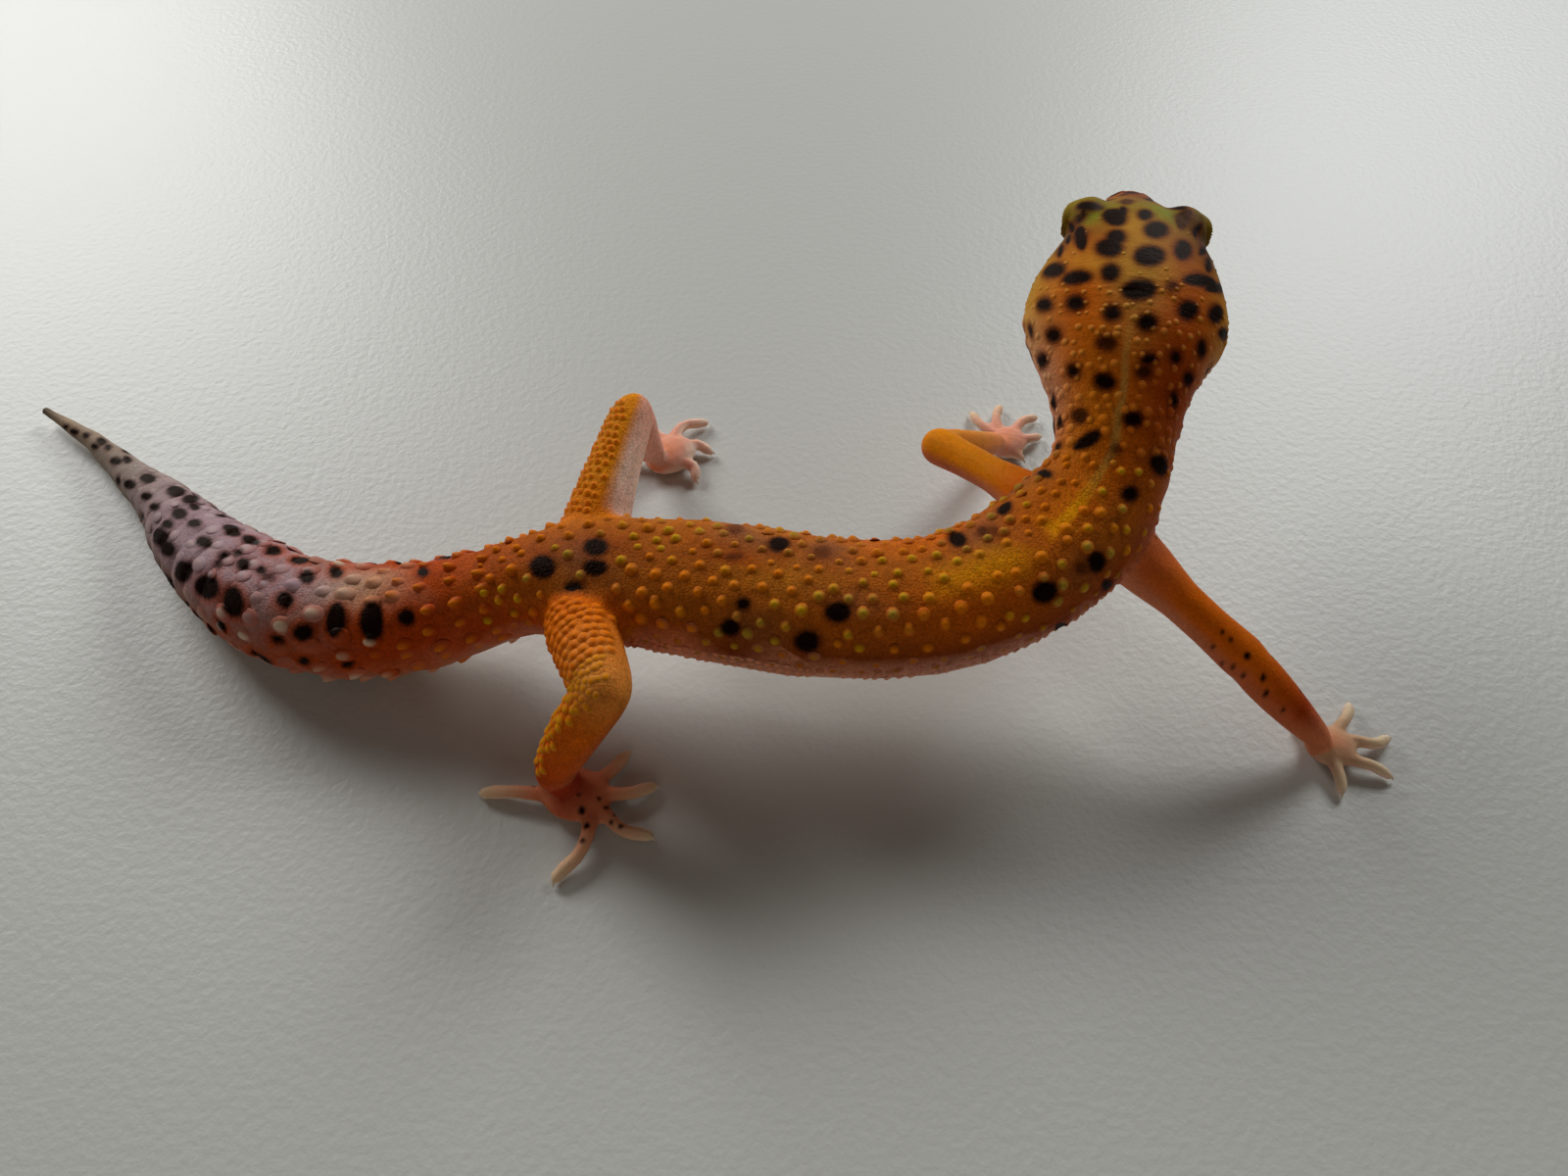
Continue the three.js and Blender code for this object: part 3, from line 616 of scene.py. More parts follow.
def fold_relief(places, region):
    """Rings of the tail, creases of neck and flanks, plates of the belly, and slight unevenness all over."""
    at, angle = region.at, np.radians(region.angle)
    body = 1 - region.limb
    rise = np.zeros(len(places))
    saw = (at - RINGS_FROM) / np.interp(at, RING_PLACES, RING_SPACING) % 1
    tail = ease(14, 30, at) * (1 - ease(80, 90, at)) * np.interp(at, [14, 45, 80], [0.35, 1, 0.7])
    lobes = 1 + 1.2 * ease(1.2, 1.9, np.abs(angle))
    groove = RING_DEPTH * bell(np.minimum(saw, 1 - saw), 0.13)
    rise -= body * tail * lobes * (groove - RING_SLANT * (saw - 0.5))
    neck = ease(148, 153, at) * (1 - ease(160, 165, at)) * ease(0.6, 1.4, np.abs(angle))
    rise -= body * neck * NECK_CREASE * (0.5 + 0.5 * np.sin(at * 2.6 + 1.2 * np.sin(angle * 3)))
    flank = ease(90, 100, at) * (1 - ease(142, 150, at)) * bell(np.abs(angle) - 1.35, 0.55)
    rise -= body * flank * FLANK_CREASE * (0.5 + 0.5 * np.sin(at * 3.1 + 2.2 * np.sin(angle * 4 + at * 0.3)))
    belly = ease(88, 94, at) * (1 - ease(158, 164, at)) * ease(1.95, 2.3, np.abs(angle))
    rise -= body * belly * BELLY_PLATE * (0.5 + 0.5 * np.sin(at * 4.2)) ** 3
    x, y, z = places.T
    lump = np.sin(0.9 * x + 1.3 * y) + np.sin(1.1 * y - 0.8 * z + 2) + np.sin(0.8 * z + 1.2 * x + 4)
    return rise + body * (at < 168) * UNEVEN * lump


def lid_shape(places):
    """Almond eye openings: the skin dips behind the ball inside them and stands over it as a rolled lid."""
    places = places.copy()
    for side in (1, -1):
        centre, facing, forward, up = eye_frame(side)
        away = places - centre
        far = np.linalg.norm(away, axis=1)
        near = np.flatnonzero((far < 4.4) & (away @ facing > 0.2 * far))
        ray = away[near] / far[near, None]
        x, y = ray @ forward * EYE_BALL, ray @ up * EYE_BALL
        tall = np.where(y > 0, LID_TALL, LID_TALL * LOWER_LID)
        opening = (np.hypot((x - OPENING_AHEAD) / LID_LONG, y / tall) - 1) * LID_TALL
        outer = 1 - ease(1.7, 3.0, np.hypot(x, y) * LID_OUT / EYE_BALL)
        over = far[near] - LID_OUT
        lid = LID_OUT + over * (1 - outer) + 0.4 * outer * np.maximum(over, 0)
        lid += 0.12 * bell(opening - 0.28, 0.26) - 0.07 * bell(opening - 0.85, 0.2) * (y > 0)
        lid -= (0.42 * ease(0.8, 2.4, np.abs(x)) + 0.25 * ease(0, 0.8, -y)) * outer
        socket = 1 - ease(-0.12, 0.1, opening)
        length = lid * (1 - socket) + (EYE_BALL - 0.3) * socket
        places[near] = centre + ray * length[:, None]
    return places


def toe_caps(places, region):
    """Rounded toe tips: most of what was cast round the claws is drawn back to the pads."""
    places = places.copy()
    near = np.flatnonzero(region.foot > 0.5)
    for limb in LIMBS.values():
        for toe in limb["toes"]:
            pad, tip = toe_axis(limb, toe)[-2:]
            ahead = unit(tip - pad)
            away = places[near] - pad
            along = away @ ahead
            aside = np.linalg.norm(away - along[:, None] * ahead, axis=1)
            beyond = np.where((along > 0) & (along < 1.8) & (aside < 1.1), along, 0)
            places[near] -= ahead * (DRAWN_BACK * beyond)[:, None]
    return places


def fineness(places, region, edges):
    """How finely each place stays meshed: head and feet, stripe and freckles, spots, limbs, tail's tip."""
    parts = np.clip(np.maximum(ease(150, 166, region.at) * (1 - region.limb), region.foot), 0, 1)
    marked = stripe_share(region.at, region.angle, region.out) * ease(140, 146, region.at)
    for *centre, _ in FRECKLES:
        marked = np.maximum(marked, 1 - ease(0.6, 1.0, np.linalg.norm(places - centre, axis=1)))
    edge = spot_reading(region.at, region.angle, region.out)[0]
    rims = (1 - ease(0.5, 1.1, np.abs(edge))) * (1 - region.limb) * ease(20, 30, region.at)
    tip = 1 - ease(20, 40, region.at)
    return np.maximum.reduce([
        0.8 * parts, averaged(marked, edges, 4), 0.5 * rims, 0.55 * region.limb, 0.6 * tip])


def shape_skin(skin):
    """Eases the cast skin, lays it at the coat's depth and sculpts its folds and openings."""
    edges = mesh_edges(skin.data)
    region = Region(vertex_places(skin.data), edges)
    thick = np.interp(region.at, GIRTH[:, 0], GIRTH[:, 1:].min(axis=1))
    share = np.clip(thick / 5.0, 0.12, 1.0) * np.interp(region.at, [177, 179, 187, 190], [1, 0.5, 0.6, 1.3])
    share = share * (1 - region.limb) + region.limb * (0.9 - 0.8 * region.foot)
    grade(skin, "eased", averaged(share, edges, 10))
    eased = skin.modifiers.new("eased", "SMOOTH")
    eased.factor = 0.5
    eased.iterations = SMOOTHINGS
    eased.vertex_group = "eased"
    applied(skin)
    skin.vertex_groups.clear()
    mesh = skin.data
    places = vertex_places(mesh)
    rise = head_relief(places, region) + fold_relief(places, region) - GROWTH - body_dressing(region)
    places += vertex_normals(mesh) * rise[:, None]
    places = lid_shape(places)
    places = toe_caps(places, region)
    places[:, 2] = np.maximum(places[:, 2], CLEARANCE)
    set_places(mesh, places)
    grade(skin, "coarse", 1 - 0.9 * fineness(places, region, edges))
    bare = bmesh.new()
    bare.from_mesh(mesh)
    bmesh.ops.triangulate(bare, faces=bare.faces)
    bare.to_mesh(mesh)
    bare.free()
    thin = skin.modifiers.new("thin", "DECIMATE")
    thin.ratio = SKIN_TRIANGLES / len(mesh.polygons)
    thin.vertex_group = "coarse"
    thin.vertex_group_factor = 1.0
    applied(skin)
    skin.vertex_groups.clear()
    skin.data.shade_smooth()
    return skin


# ---- Painting ----

def spot_list():
    """The noted spots, and more of the same kind scattered among them."""
    chance = np.random.default_rng(SEED)
    spots = [tuple(row) for row in SPOTS]
    for count, at_range, angle_range, size_range, gap in SCATTERED:
        made = 0
        for _ in range(count * 30):
            if made == count:
                break
            at = chance.uniform(*at_range)
            angle = chance.uniform(*angle_range)
            long = chance.uniform(*size_range)
            broad = long * chance.uniform(0.6, 0.9)
            turn = chance.uniform(-40, 40)
            radius = body_radius(at, angle)[0]
            gaps = [math.hypot(at - other[0], math.radians(angle - other[1]) * radius) - other[2]
                    for other in spots]
            if min(gaps) > gap + long:
                spots.append((at, angle, long, broad, turn, 1.0))
                made += 1
    return np.array(spots)


ALL_SPOTS = spot_list()


def arc(angle, start, out):
    """How far round the body an angle is from the start, in millimetres."""
    return np.radians((angle - start + 180) % 360 - 180) * out


def spot_reading(at, angle, out):
    """Distance to the edge of the nearest spot, negative inside it, and how dark that spot is."""
    edge = np.full(len(at), NO_SPOT)
    depth = np.ones(len(at))
    for spot_at, spot_angle, long, broad, turn, dark in ALL_SPOTS:
        near = np.flatnonzero(np.abs(at - spot_at) < 5)
        dx = at[near] - spot_at
        dy = arc(angle[near], spot_angle, out[near])
        c, s = math.cos(math.radians(turn)), math.sin(math.radians(turn))
        u, v = c * dx + s * dy, c * dy - s * dx
        level = np.maximum(np.hypot(u / long, v / broad), 1e-3)
        off = np.hypot(u, v) * (1 - 1 / level)
        closer = off < edge[near]
        edge[near[closer]] = off[closer]
        depth[near[closer]] = dark
    return edge, depth


def tone_table(rows, at):
    """Named tones by distance, each column read at the places asked for."""
    marks = [row[0] for row in rows]
    tones = np.array([[tone(name) for name in row[1:]] for row in rows])
    return np.stack([np.stack([np.interp(at, marks, tones[:, j, k]) for k in range(3)], 1)
                     for j in range(tones.shape[1])], 1)


def body_tone(at, angle):
    """The skin's ground colour on the body, without its markings. On the trunk the belly starts sharply."""
    rows = tone_table(BODY_TONES, at)
    sharp = ease(84, 92, at) * (1 - ease(150, 158, at))
    edge = np.interp(at, [112, 124, 146, 154], [-11, 4, 4, -6])
    marks = np.array(TONE_ANGLES, float)[None] + sharp[:, None] * np.array([0, 0, 5, 0, 0])
    marks[:, 3] += sharp * edge
    turn = np.abs(angle)[:, None]
    i = np.clip((marks <= turn).sum(1) - 1, 0, len(TONE_ANGLES) - 2)
    pick = np.arange(len(at))
    low, high = marks[pick, i], marks[pick, i + 1]
    share = ease(0, 1, (np.abs(angle) - low) / (high - low))[:, None]
    return rows[pick, i] * (1 - share) + rows[pick, i + 1] * share


def patch_share(patch, at, angle, out):
    """How far each place is inside a soft patch, from 0 to 1."""
    middle, turn, long, broad, strength = patch[:5]
    return strength * bell(np.hypot((at - middle) / long, arc(angle, turn, out) / broad), 1.0)


def dusk_share(at, angle, out):
    return np.max([patch_share(patch, at, angle, out) for patch in PATCHES if patch[5] == "dusk"], axis=0)


def stripe_share(at, angle, out):
    """How strongly the pale stripe of the back shows at each place."""
    places = [row[0] for row in STRIPE]
    middle, width, strength = (np.interp(at, places, [row[k] for row in STRIPE]) for k in (1, 2, 3))
    return strength * (1 - ease(0.5, 1.6, np.abs(arc(angle, middle, out)) / width))


def blended(first, second, share):
    """Tones between two, one for each share."""
    first, second = np.atleast_2d(first), np.atleast_2d(second)
    return first + (second - first) * np.clip(share, 0, 1)[:, None]


def paint_body(at, angle, out, edge):
    """Ground tone with its soft patches, the stripe down the backbone and the burnt rims of the spots."""
    skin_tone = body_tone(at, angle)
    for patch in PATCHES:
        skin_tone = blended(skin_tone, tone(patch[5]), patch_share(patch, at, angle, out))
    stripe = tone_table([(row[0], row[4]) for row in STRIPE], at)[:, 0]
    skin_tone = blended(skin_tone, stripe, stripe_share(at, angle, out))
    turn = np.abs(angle)
    burnt = (1 - ease(0.15, 1.3, edge)) * ease(44, 54, at) * (1 - ease(74, 82, at)) * (turn < 105)
    burnt *= 0.4 + 0.6 * ease(5, 45, turn)
    skin_tone = blended(skin_tone, tone("ember"), 0.7 * burnt)
    strength = np.interp(at, [20, 60, 90, 150, 158], [0.3, 0.35, 0.45, 0.45, 0.75])
    return blended(skin_tone, tone("halo"), strength * (1 - ease(-0.1, 0.85, edge)))


def clear_tone(at, angle):
    """The painted tone of places round the backbone, as if no spot were near."""
    return paint_body(at, angle, body_radius(at, angle), np.full(len(at), NO_SPOT))


def store(mesh, name, kind, values):
    layer = mesh.attributes.new(name, kind, "POINT")
    if kind == "FLOAT_COLOR":
        values = np.hstack([np.clip(values, 0, 1), np.ones((len(values), 1))])
    field = {"FLOAT": "value", "FLOAT_COLOR": "color", "FLOAT_VECTOR": "vector"}[kind]
    layer.data.foreach_set(field, np.asarray(values, np.float32).ravel())


def paint_skin(mesh):
    """Stores the skin's ground tone, its spots, where the granules show and which way the skin runs."""
    places, normals, edges = vertex_places(mesh), vertex_normals(mesh), mesh_edges(mesh)
    region = Region(places, edges)
    edge, depth = spot_reading(region.at, region.angle, region.out)
    painted = paint_body(region.at, region.angle, region.out, edge)
    for name, limb in LIMBS.items():
        share = ease(0.25, 0.75, region.side_limb[name])
        mine = np.flatnonzero(share > 0.001)
        sides = tone_table(LIMB_TONES[name], limb_place(limb, places[mine]))
        lit = averaged(normals @ UPPER_SIDE.get(name, (0, 0, 1)), edges, 2)[mine]
        own = blended(sides[:, 1], sides[:, 0], ease(*LIT_RANGE[name], lit))
        painted[mine] = blended(painted[mine], own, share[mine])
    bare = ease(0.3, 0.6, region.limb)
    edge = edge * (1 - bare) + NO_SPOT * bare
    for *centre, size in FRECKLES:
        away = (places - centre) * [1, 1, 0.4]
        edge = np.minimum(edge, 1.5 * (np.linalg.norm(away, axis=1) - 0.85 * size - 0.03))
    store(mesh, "ground", "FLOAT_COLOR", painted)
    store(mesh, "spot_edge", "FLOAT", edge)
    store(mesh, "spot_depth", "FLOAT", depth)
    smooth = np.maximum.reduce([
        region.foot, 0.6 * region.arm, 0.75 * ease(156, 166, region.at), 0.5 * (1 - ease(40, 60, region.at)),
        0.5 * ease(95, 110, np.abs(region.angle)) * (1 - region.limb)])
    store(mesh, "grain", "FLOAT", 1 - 0.85 * averaged(smooth, edges, 6))
    lie = np.stack([region.at, np.radians(region.angle) * region.out, 1 - region.limb], 1)
    store(mesh, "lie", "FLOAT_VECTOR", lie)


# ---- Materials ----

def add(tree, kind, inputs=None, **settings):
    """Adds a node with its settings, and gives each named socket a value or a link. A node given there
    stands for its first output in use."""
    made = tree.nodes.new(kind)
    for name, value in settings.items():
        setattr(made, name, value)
    for name, value in (inputs or {}).items():
        if isinstance(value, bpy.types.Node):
            value = next(output for output in value.outputs if output.enabled)
        if isinstance(value, bpy.types.NodeSocket):
            tree.links.new(value, made.inputs[name])
        else:
            made.inputs[name].default_value = value
    return made


def new_material(name):
    material = bpy.data.materials.new(name)
    material.use_nodes = True
    material.node_tree.nodes.clear()
    return material, material.node_tree


def tint(code):
    return (*linear(code), 1.0)


def granule_cells(tree, place):
    """The mosaic of granules, shared by the skin and the raised scales."""
    return add(tree, "ShaderNodeTexVoronoi", {
        "Vector": place.outputs["Object"], "Scale": 1 / (GRANULE * MM), "Randomness": 0.85})


def spotted(tree, clear, each):
    """A colour under the dark spots, from the painted distance to their edges, which follow the granules."""
    edge = add(tree, "ShaderNodeAttribute", attribute_name="spot_edge")
    depth = add(tree, "ShaderNodeAttribute", attribute_name="spot_depth")
    jitter = add(tree, "ShaderNodeMath", {
        0: each.outputs["Red"], 1: 0.14, 2: -0.07}, operation="MULTIPLY_ADD")
    ragged = add(tree, "ShaderNodeMath", {0: edge.outputs["Fac"], 1: jitter}, operation="ADD")
    mask = add(tree, "ShaderNodeMapRange", {
        "Value": ragged, "From Min": -0.34, "From Max": 0.38, "To Min": 1.0, "To Max": 0.0},
        interpolation_type="SMOOTHSTEP")
    dark = add(tree, "ShaderNodeMath", {0: mask, 1: depth.outputs["Fac"]}, operation="MULTIPLY")
    return add(tree, "ShaderNodeMix", data_type="RGBA", inputs={
        "Factor": dark, "A": clear, "B": tint(TONES["spot"])})


def mottled_ground(tree, place, granules, each, grain):
    """The painted ground, mottled by granules and by soft clouds, with painted shade darkening the furrows
    between the granules.
    """
    ground = add(tree, "ShaderNodeAttribute", attribute_name="ground")
    shade = add(tree, "ShaderNodeMapRange", {"Value": each.outputs["Green"], "To Min": 0.9, "To Max": 1.1})
    # Painted shade: each granule darkens towards its edge, in the furrows between granules.
    furrow_shade = add(tree, "ShaderNodeMapRange", {
        "Value": granules, "From Min": 0.35, "From Max": 0.75, "To Min": 1.0, "To Max": 0.82},
        interpolation_type="SMOOTHSTEP")
    mottle_and_furrow_shade = add(tree, "ShaderNodeMath", {0: shade, 1: furrow_shade}, operation="MULTIPLY")
    cloud = add(tree, "ShaderNodeTexNoise", {
        "Vector": place.outputs["Object"], "Scale": 1 / (1.6 * MM), "Detail": 4.0, "Roughness": 0.6})
    clouded = add(tree, "ShaderNodeMapRange", {
        "Value": cloud, "From Min": 0.3, "From Max": 0.7, "To Min": 0.84, "To Max": 1.16})
    mottle_and_furrow_shade = add(tree, "ShaderNodeMath", {0: mottle_and_furrow_shade, 1: clouded}, operation="MULTIPLY")
    off = add(tree, "ShaderNodeMath", {0: mottle_and_furrow_shade, 1: -1.0}, operation="ADD")
    level = add(tree, "ShaderNodeMath", {0: off, 1: grain.outputs["Fac"], 2: 1.0}, operation="MULTIPLY_ADD")
    return add(tree, "ShaderNodeVectorMath", {"Vector": ground, "Scale": level}, operation="SCALE")


def granular_skin():
    """Living reptile skin: a mosaic of dry granules, just over a quarter of a millimetre across, with a
    soft satin sheen."""
    material, tree = new_material("granular_reptile_skin")
    place = add(tree, "ShaderNodeTexCoord")
    granules = granule_cells(tree, place)
    each = add(tree, "ShaderNodeSeparateColor", {"Color": granules.outputs["Color"]})
    grain = add(tree, "ShaderNodeAttribute", attribute_name="grain")
    colour = spotted(tree, mottled_ground(tree, place, granules, each, grain), each)
    dome = add(tree, "ShaderNodeMath", {0: granules, 1: granules}, operation="MULTIPLY")
    height = add(tree, "ShaderNodeMath", {0: dome, 1: grain.outputs["Fac"]}, operation="MULTIPLY")
    mosaic = add(tree, "ShaderNodeBump", {
        "Height": height, "Strength": 0.6, "Distance": 0.12 * MM}, invert=True)
    lie = add(tree, "ShaderNodeAttribute", attribute_name="lie")
    across = add(tree, "ShaderNodeMapping", {"Vector": lie.outputs["Vector"], "Scale": (1.1, 0.22, 0.0)})
    crease = add(tree, "ShaderNodeTexNoise", {
        "Vector": across, "Scale": 1.3, "Detail": 3.0, "Roughness": 0.6})
    creased = add(tree, "ShaderNodeBump", {
        "Height": crease, "Strength": 0.35, "Distance": 0.3 * MM, "Normal": mosaic})
    surface = add(tree, "ShaderNodeBsdfPrincipled", {
        "Base Color": colour, "Roughness": 0.55,
        "Specular IOR Level": 0.05, "Specular Tint": (1.0, 0.6, 0.3, 1.0),
        "Subsurface Weight": 0.25, "Subsurface Radius": (1.0, 0.32, 0.16), "Subsurface Scale": 0.8 * MM,
        "Normal": creased})
    add(tree, "ShaderNodeOutputMaterial", {"Surface": surface})
    return material


def raised_scale_finish():
    """Raised scales: smooth keratin domes, a little glossier and clearer than the skin between them."""
    material, tree = new_material("keratin_scale_dome")
    place = add(tree, "ShaderNodeTexCoord")
    ground = add(tree, "ShaderNodeAttribute", attribute_name="ground")
    each = add(tree, "ShaderNodeSeparateColor", {"Color": granule_cells(tree, place).outputs["Color"]})
    fine = add(tree, "ShaderNodeTexNoise", {
        "Vector": place.outputs["Object"], "Scale": 1 / (0.2 * MM), "Detail": 2.0})
    grain = add(tree, "ShaderNodeBump", {"Height": fine, "Strength": 0.25, "Distance": 0.05 * MM})
    surface = add(tree, "ShaderNodeBsdfPrincipled", {
        "Base Color": spotted(tree, ground, each), "Roughness": 0.45,
        "Specular IOR Level": 0.06, "Specular Tint": (1.0, 0.65, 0.35, 1.0),
        "Subsurface Weight": 0.2, "Subsurface Radius": (1.0, 0.35, 0.18), "Subsurface Scale": 0.6 * MM,
        "Normal": grain})
    add(tree, "ShaderNodeOutputMaterial", {"Surface": surface})
    return material


def claw_horn():
    """Claws: short hooks of pale translucent horn, smooth and slightly glossy."""
    material, tree = new_material("claw_horn")
    place = add(tree, "ShaderNodeTexCoord")
    streak = add(tree, "ShaderNodeTexNoise", {
        "Vector": place.outputs["Object"], "Scale": 1 / (0.3 * MM), "Detail": 2.0})
    horn = add(tree, "ShaderNodeMix", data_type="RGBA", inputs={
        "Factor": streak, "A": tint("d4bc98"), "B": tint("eee0ca")})
    surface = add(tree, "ShaderNodeBsdfPrincipled", {
        "Base Color": horn, "Roughness": 0.3, "Specular IOR Level": 0.5})
    add(tree, "ShaderNodeOutputMaterial", {"Surface": surface})
    return material


def eye_finish():
    """Wet eyeball: a bronze-grey iris with dark branching veins, an upright slit pupil and a clear gloss."""
    material, tree = new_material("wet_gecko_eye")
    look = add(tree, "ShaderNodeAttribute", attribute_name="gaze")
    part = add(tree, "ShaderNodeSeparateXYZ", {"Vector": look.outputs["Vector"]})
    flat = add(tree, "ShaderNodeCombineXYZ", {"X": part.outputs["X"], "Y": part.outputs["Y"], "Z": 0.0})
    far = add(tree, "ShaderNodeVectorMath", {"Vector": flat}, operation="LENGTH")
    tall = add(tree, "ShaderNodeMath", {0: part.outputs["Y"], 1: 1 / 1.45}, operation="MULTIPLY")
    squared = add(tree, "ShaderNodeMath", {0: tall, 1: tall}, operation="MULTIPLY")
    narrow = add(tree, "ShaderNodeMath", {0: 1.0, 1: squared}, operation="SUBTRACT")
    wave = add(tree, "ShaderNodeTexNoise", {"Vector": look.outputs["Vector"], "Scale": 1.6, "Detail": 1.0})
    width = add(tree, "ShaderNodeMath", {0: narrow, 1: 0.36}, operation="MULTIPLY")
    side = add(tree, "ShaderNodeMath", {0: part.outputs["X"]}, operation="ABSOLUTE")
    notch = add(tree, "ShaderNodeMath", {0: wave, 1: 0.16, 2: -0.08}, operation="MULTIPLY_ADD")
    wavy = add(tree, "ShaderNodeMath", {0: side, 1: notch}, operation="ADD")
    inside = add(tree, "ShaderNodeMath", {0: width, 1: wavy}, operation="SUBTRACT")
    pupil = add(tree, "ShaderNodeMapRange", {"Value": inside, "From Min": -0.04, "From Max": 0.04})
    veins = add(tree, "ShaderNodeTexNoise", {
        "Vector": look.outputs["Vector"], "Scale": 3.2, "Detail": 6.0, "Roughness": 0.7, "Distortion": 1.4})
    vein = add(tree, "ShaderNodeMapRange", {"Value": veins, "From Min": 0.42, "From Max": 0.62})
    rim = add(tree, "ShaderNodeMapRange", {"Value": far, "From Min": 1.55, "From Max": 2.0})
    colour = tint("4c3a28")
    for share, code in ((vein, "a89468"), (rim, "1a1410"), (pupil, "050404")):
        colour = add(tree, "ShaderNodeMix", data_type="RGBA", inputs={
            "Factor": share, "A": colour, "B": tint(code)})
    surface = add(tree, "ShaderNodeBsdfPrincipled", {
        "Base Color": colour, "Roughness": 0.12, "Specular IOR Level": 0.6,
        "Coat Weight": 1.0, "Coat Roughness": 0.03})
    add(tree, "ShaderNodeOutputMaterial", {"Surface": surface})
    return material


def table_top():
    """Floor: pale satin laminate with a fine orange-peel grain."""
    material, tree = new_material("satin_laminate")
    place = add(tree, "ShaderNodeTexCoord")
    peel = add(tree, "ShaderNodeTexNoise", {
        "Vector": place.outputs["Object"], "Scale": 1 / (0.95 * MM), "Detail": 2.0, "Roughness": 0.55})
    bump = add(tree, "ShaderNodeBump", {"Height": peel, "Strength": 0.5, "Distance": 0.14 * MM})
    surface = add(tree, "ShaderNodeBsdfPrincipled", {
        "Base Color": tint("cfd0cc"), "Roughness": 0.42, "Specular IOR Level": 0.5, "Normal": bump})
    add(tree, "ShaderNodeOutputMaterial", {"Surface": surface})
    return material


# ---- Raised scales ----

# Profile of a raised scale, from the middle of its buried base to its tip: radius and height shares.
DOME_PROFILE = [(0, -0.3), (1.25, -0.3), (1.2, -0.04), (0.86, 0.3), (0.46, 0.76), (0, 1)]


SPIN_STEPS = 10


def spun(profile):
    """A closed shape spun from a profile of radii and heights."""
    shape = bmesh.new()
    ring = [shape.verts.new((radius, 0, height)) for radius, height in profile]
    edges = [shape.edges.new(pair) for pair in zip(ring, ring[1:])]
    bmesh.ops.spin(shape, geom=ring + edges, cent=(0, 0, 0), axis=(0, 0, 1), angle=2 * math.pi,
                   steps=SPIN_STEPS, use_merge=True)
    bmesh.ops.remove_doubles(shape, verts=shape.verts, dist=1e-5)
    bmesh.ops.recalc_face_normals(shape, faces=shape.faces)
    return shape


def dome_template():
    """Points and faces of one raised scale, with radius 1 and height 1. It has fifty faces."""
    dome = spun(DOME_PROFILE)
    dome.verts.index_update()
    points = np.array([v.co for v in dome.verts])
    faces = [[v.index for v in face.verts] for face in dome.faces]
    dome.free()
    return points, faces


class SkinSurface:
    """The finished skin, asked for the point, normal and ground colour where a ray from inside leaves it."""

    def __init__(self, mesh):
        self.places = vertex_places(mesh)
        self.normals = vertex_normals(mesh)
        tones = np.empty(len(mesh.vertices) * 4, np.float32)
        mesh.attributes["ground"].data.foreach_get("color", tones)
        self.tones = tones.reshape(-1, 4)[:, :3].astype(float)
        corners = np.empty(len(mesh.polygons) * 3, np.int32)
        mesh.polygons.foreach_get("vertices", corners)
        self.faces = corners.reshape(-1, 3)
        self.tree = BVHTree.FromPolygons(self.places.tolist(), self.faces.tolist())

    def leave(self, start, direction):
        hit, _, face, far = self.tree.ray_cast(Vector(start), Vector(direction))
        if hit is None:
            return None
        return self.reading(np.array(hit), face, far)

    def nearest(self, point):
        hit, _, face, far = self.tree.find_nearest(Vector(point))
        return self.reading(np.array(hit), face, far)

    def reading(self, hit, face, far):
        corners = self.faces[face]
        return hit, unit(self.normals[corners].mean(0)), self.tones[corners].mean(0), far


def body_chart(at, angle):
    return 0.02 + 0.96 * at / 196, 0.34 + 0.64 * (angle + 180) / 360


def limb_chart(index, place, angle):
    return 0.02 + 0.245 * index + 0.22 * place / 3, 0.02 + 0.28 * (angle + 180) / 360


# Half the width of one scale's patch on the skin's unwrapped shape.
PATCH = 0.0015


class Coat:
    """Raised scales gathered into one piece."""

    def __init__(self, name, blend=(0.05, 0.75)):
        self.name, self.rows, self.blend = name, [], blend

    def grow(self, found, lie, radius, height, shade, chart, lean, long=1.0):
        root, normal, ground, _ = found
        self.rows.append((root, normal, lie, radius, height, shade, ground, chart, lean, long))

    def build(self, template, finish):
        points, faces = template
        root, normal, lie, radius, height, shade, ground, chart, lean, long = map(np.array, zip(*self.rows))
        lie = unit(lie - (lie * normal).sum(1)[:, None] * normal)
        side = np.cross(normal, lie)
        x, y, z = points.T
        rise = np.clip(z, 0, 1)
        along = radius[:, None] * x * long[:, None] + (lean * height)[:, None] * rise**1.5
        across = radius[:, None] * y
        out = height[:, None] * z
        places = (root[:, None] + along[..., None] * lie[:, None] + across[..., None] * side[:, None]
                  + out[..., None] * normal[:, None]).reshape(-1, 3)
        corners = [[len(points) * k + i for i in face] for k in range(len(root)) for face in faces]
        mesh = bpy.data.meshes.new(self.name)
        mesh.from_pydata((places * MM).tolist(), [], corners)
        mesh.shade_smooth()
        share = ease(*self.blend, rise)[None, :, None]
        painted = (ground[:, None] * (1 - share) + shade[:, None] * share).reshape(-1, 3)
        store(mesh, "ground", "FLOAT_COLOR", painted)
        at, aside, above = backbone.place(places)
        edge, depth = spot_reading(at, *polar(aside, above))
        on_body = np.repeat(chart[:, 1] > 0.33, len(points))
        store(mesh, "spot_edge", "FLOAT", np.where(on_body, edge, NO_SPOT))
        store(mesh, "spot_depth", "FLOAT", depth)
        local = np.stack([x, y], 1) / DOME_PROFILE[1][0] * PATCH
        patch = (chart[:, None] + local[None]).reshape(-1, 2)
        layer = mesh.uv_layers.new(name="OFBake")
        layer.uv.foreach_set("vector", patch[np.concatenate(corners)].astype(np.float32).ravel())
        mesh.materials.append(finish)
        piece = new_object(self.name, mesh)
        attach(piece, "root")
        return piece


# Points down the limbs from the shoulder or hip, with the flesh's thickness there.
LIMB_LINES = np.vstack([
    smooth_reading(JOINT_PLACES, np.array(limb["joints"]) + [*SPINE_OFFSET, 0], np.linspace(0.2, 2, 40))
    for limb in LIMBS.values()])


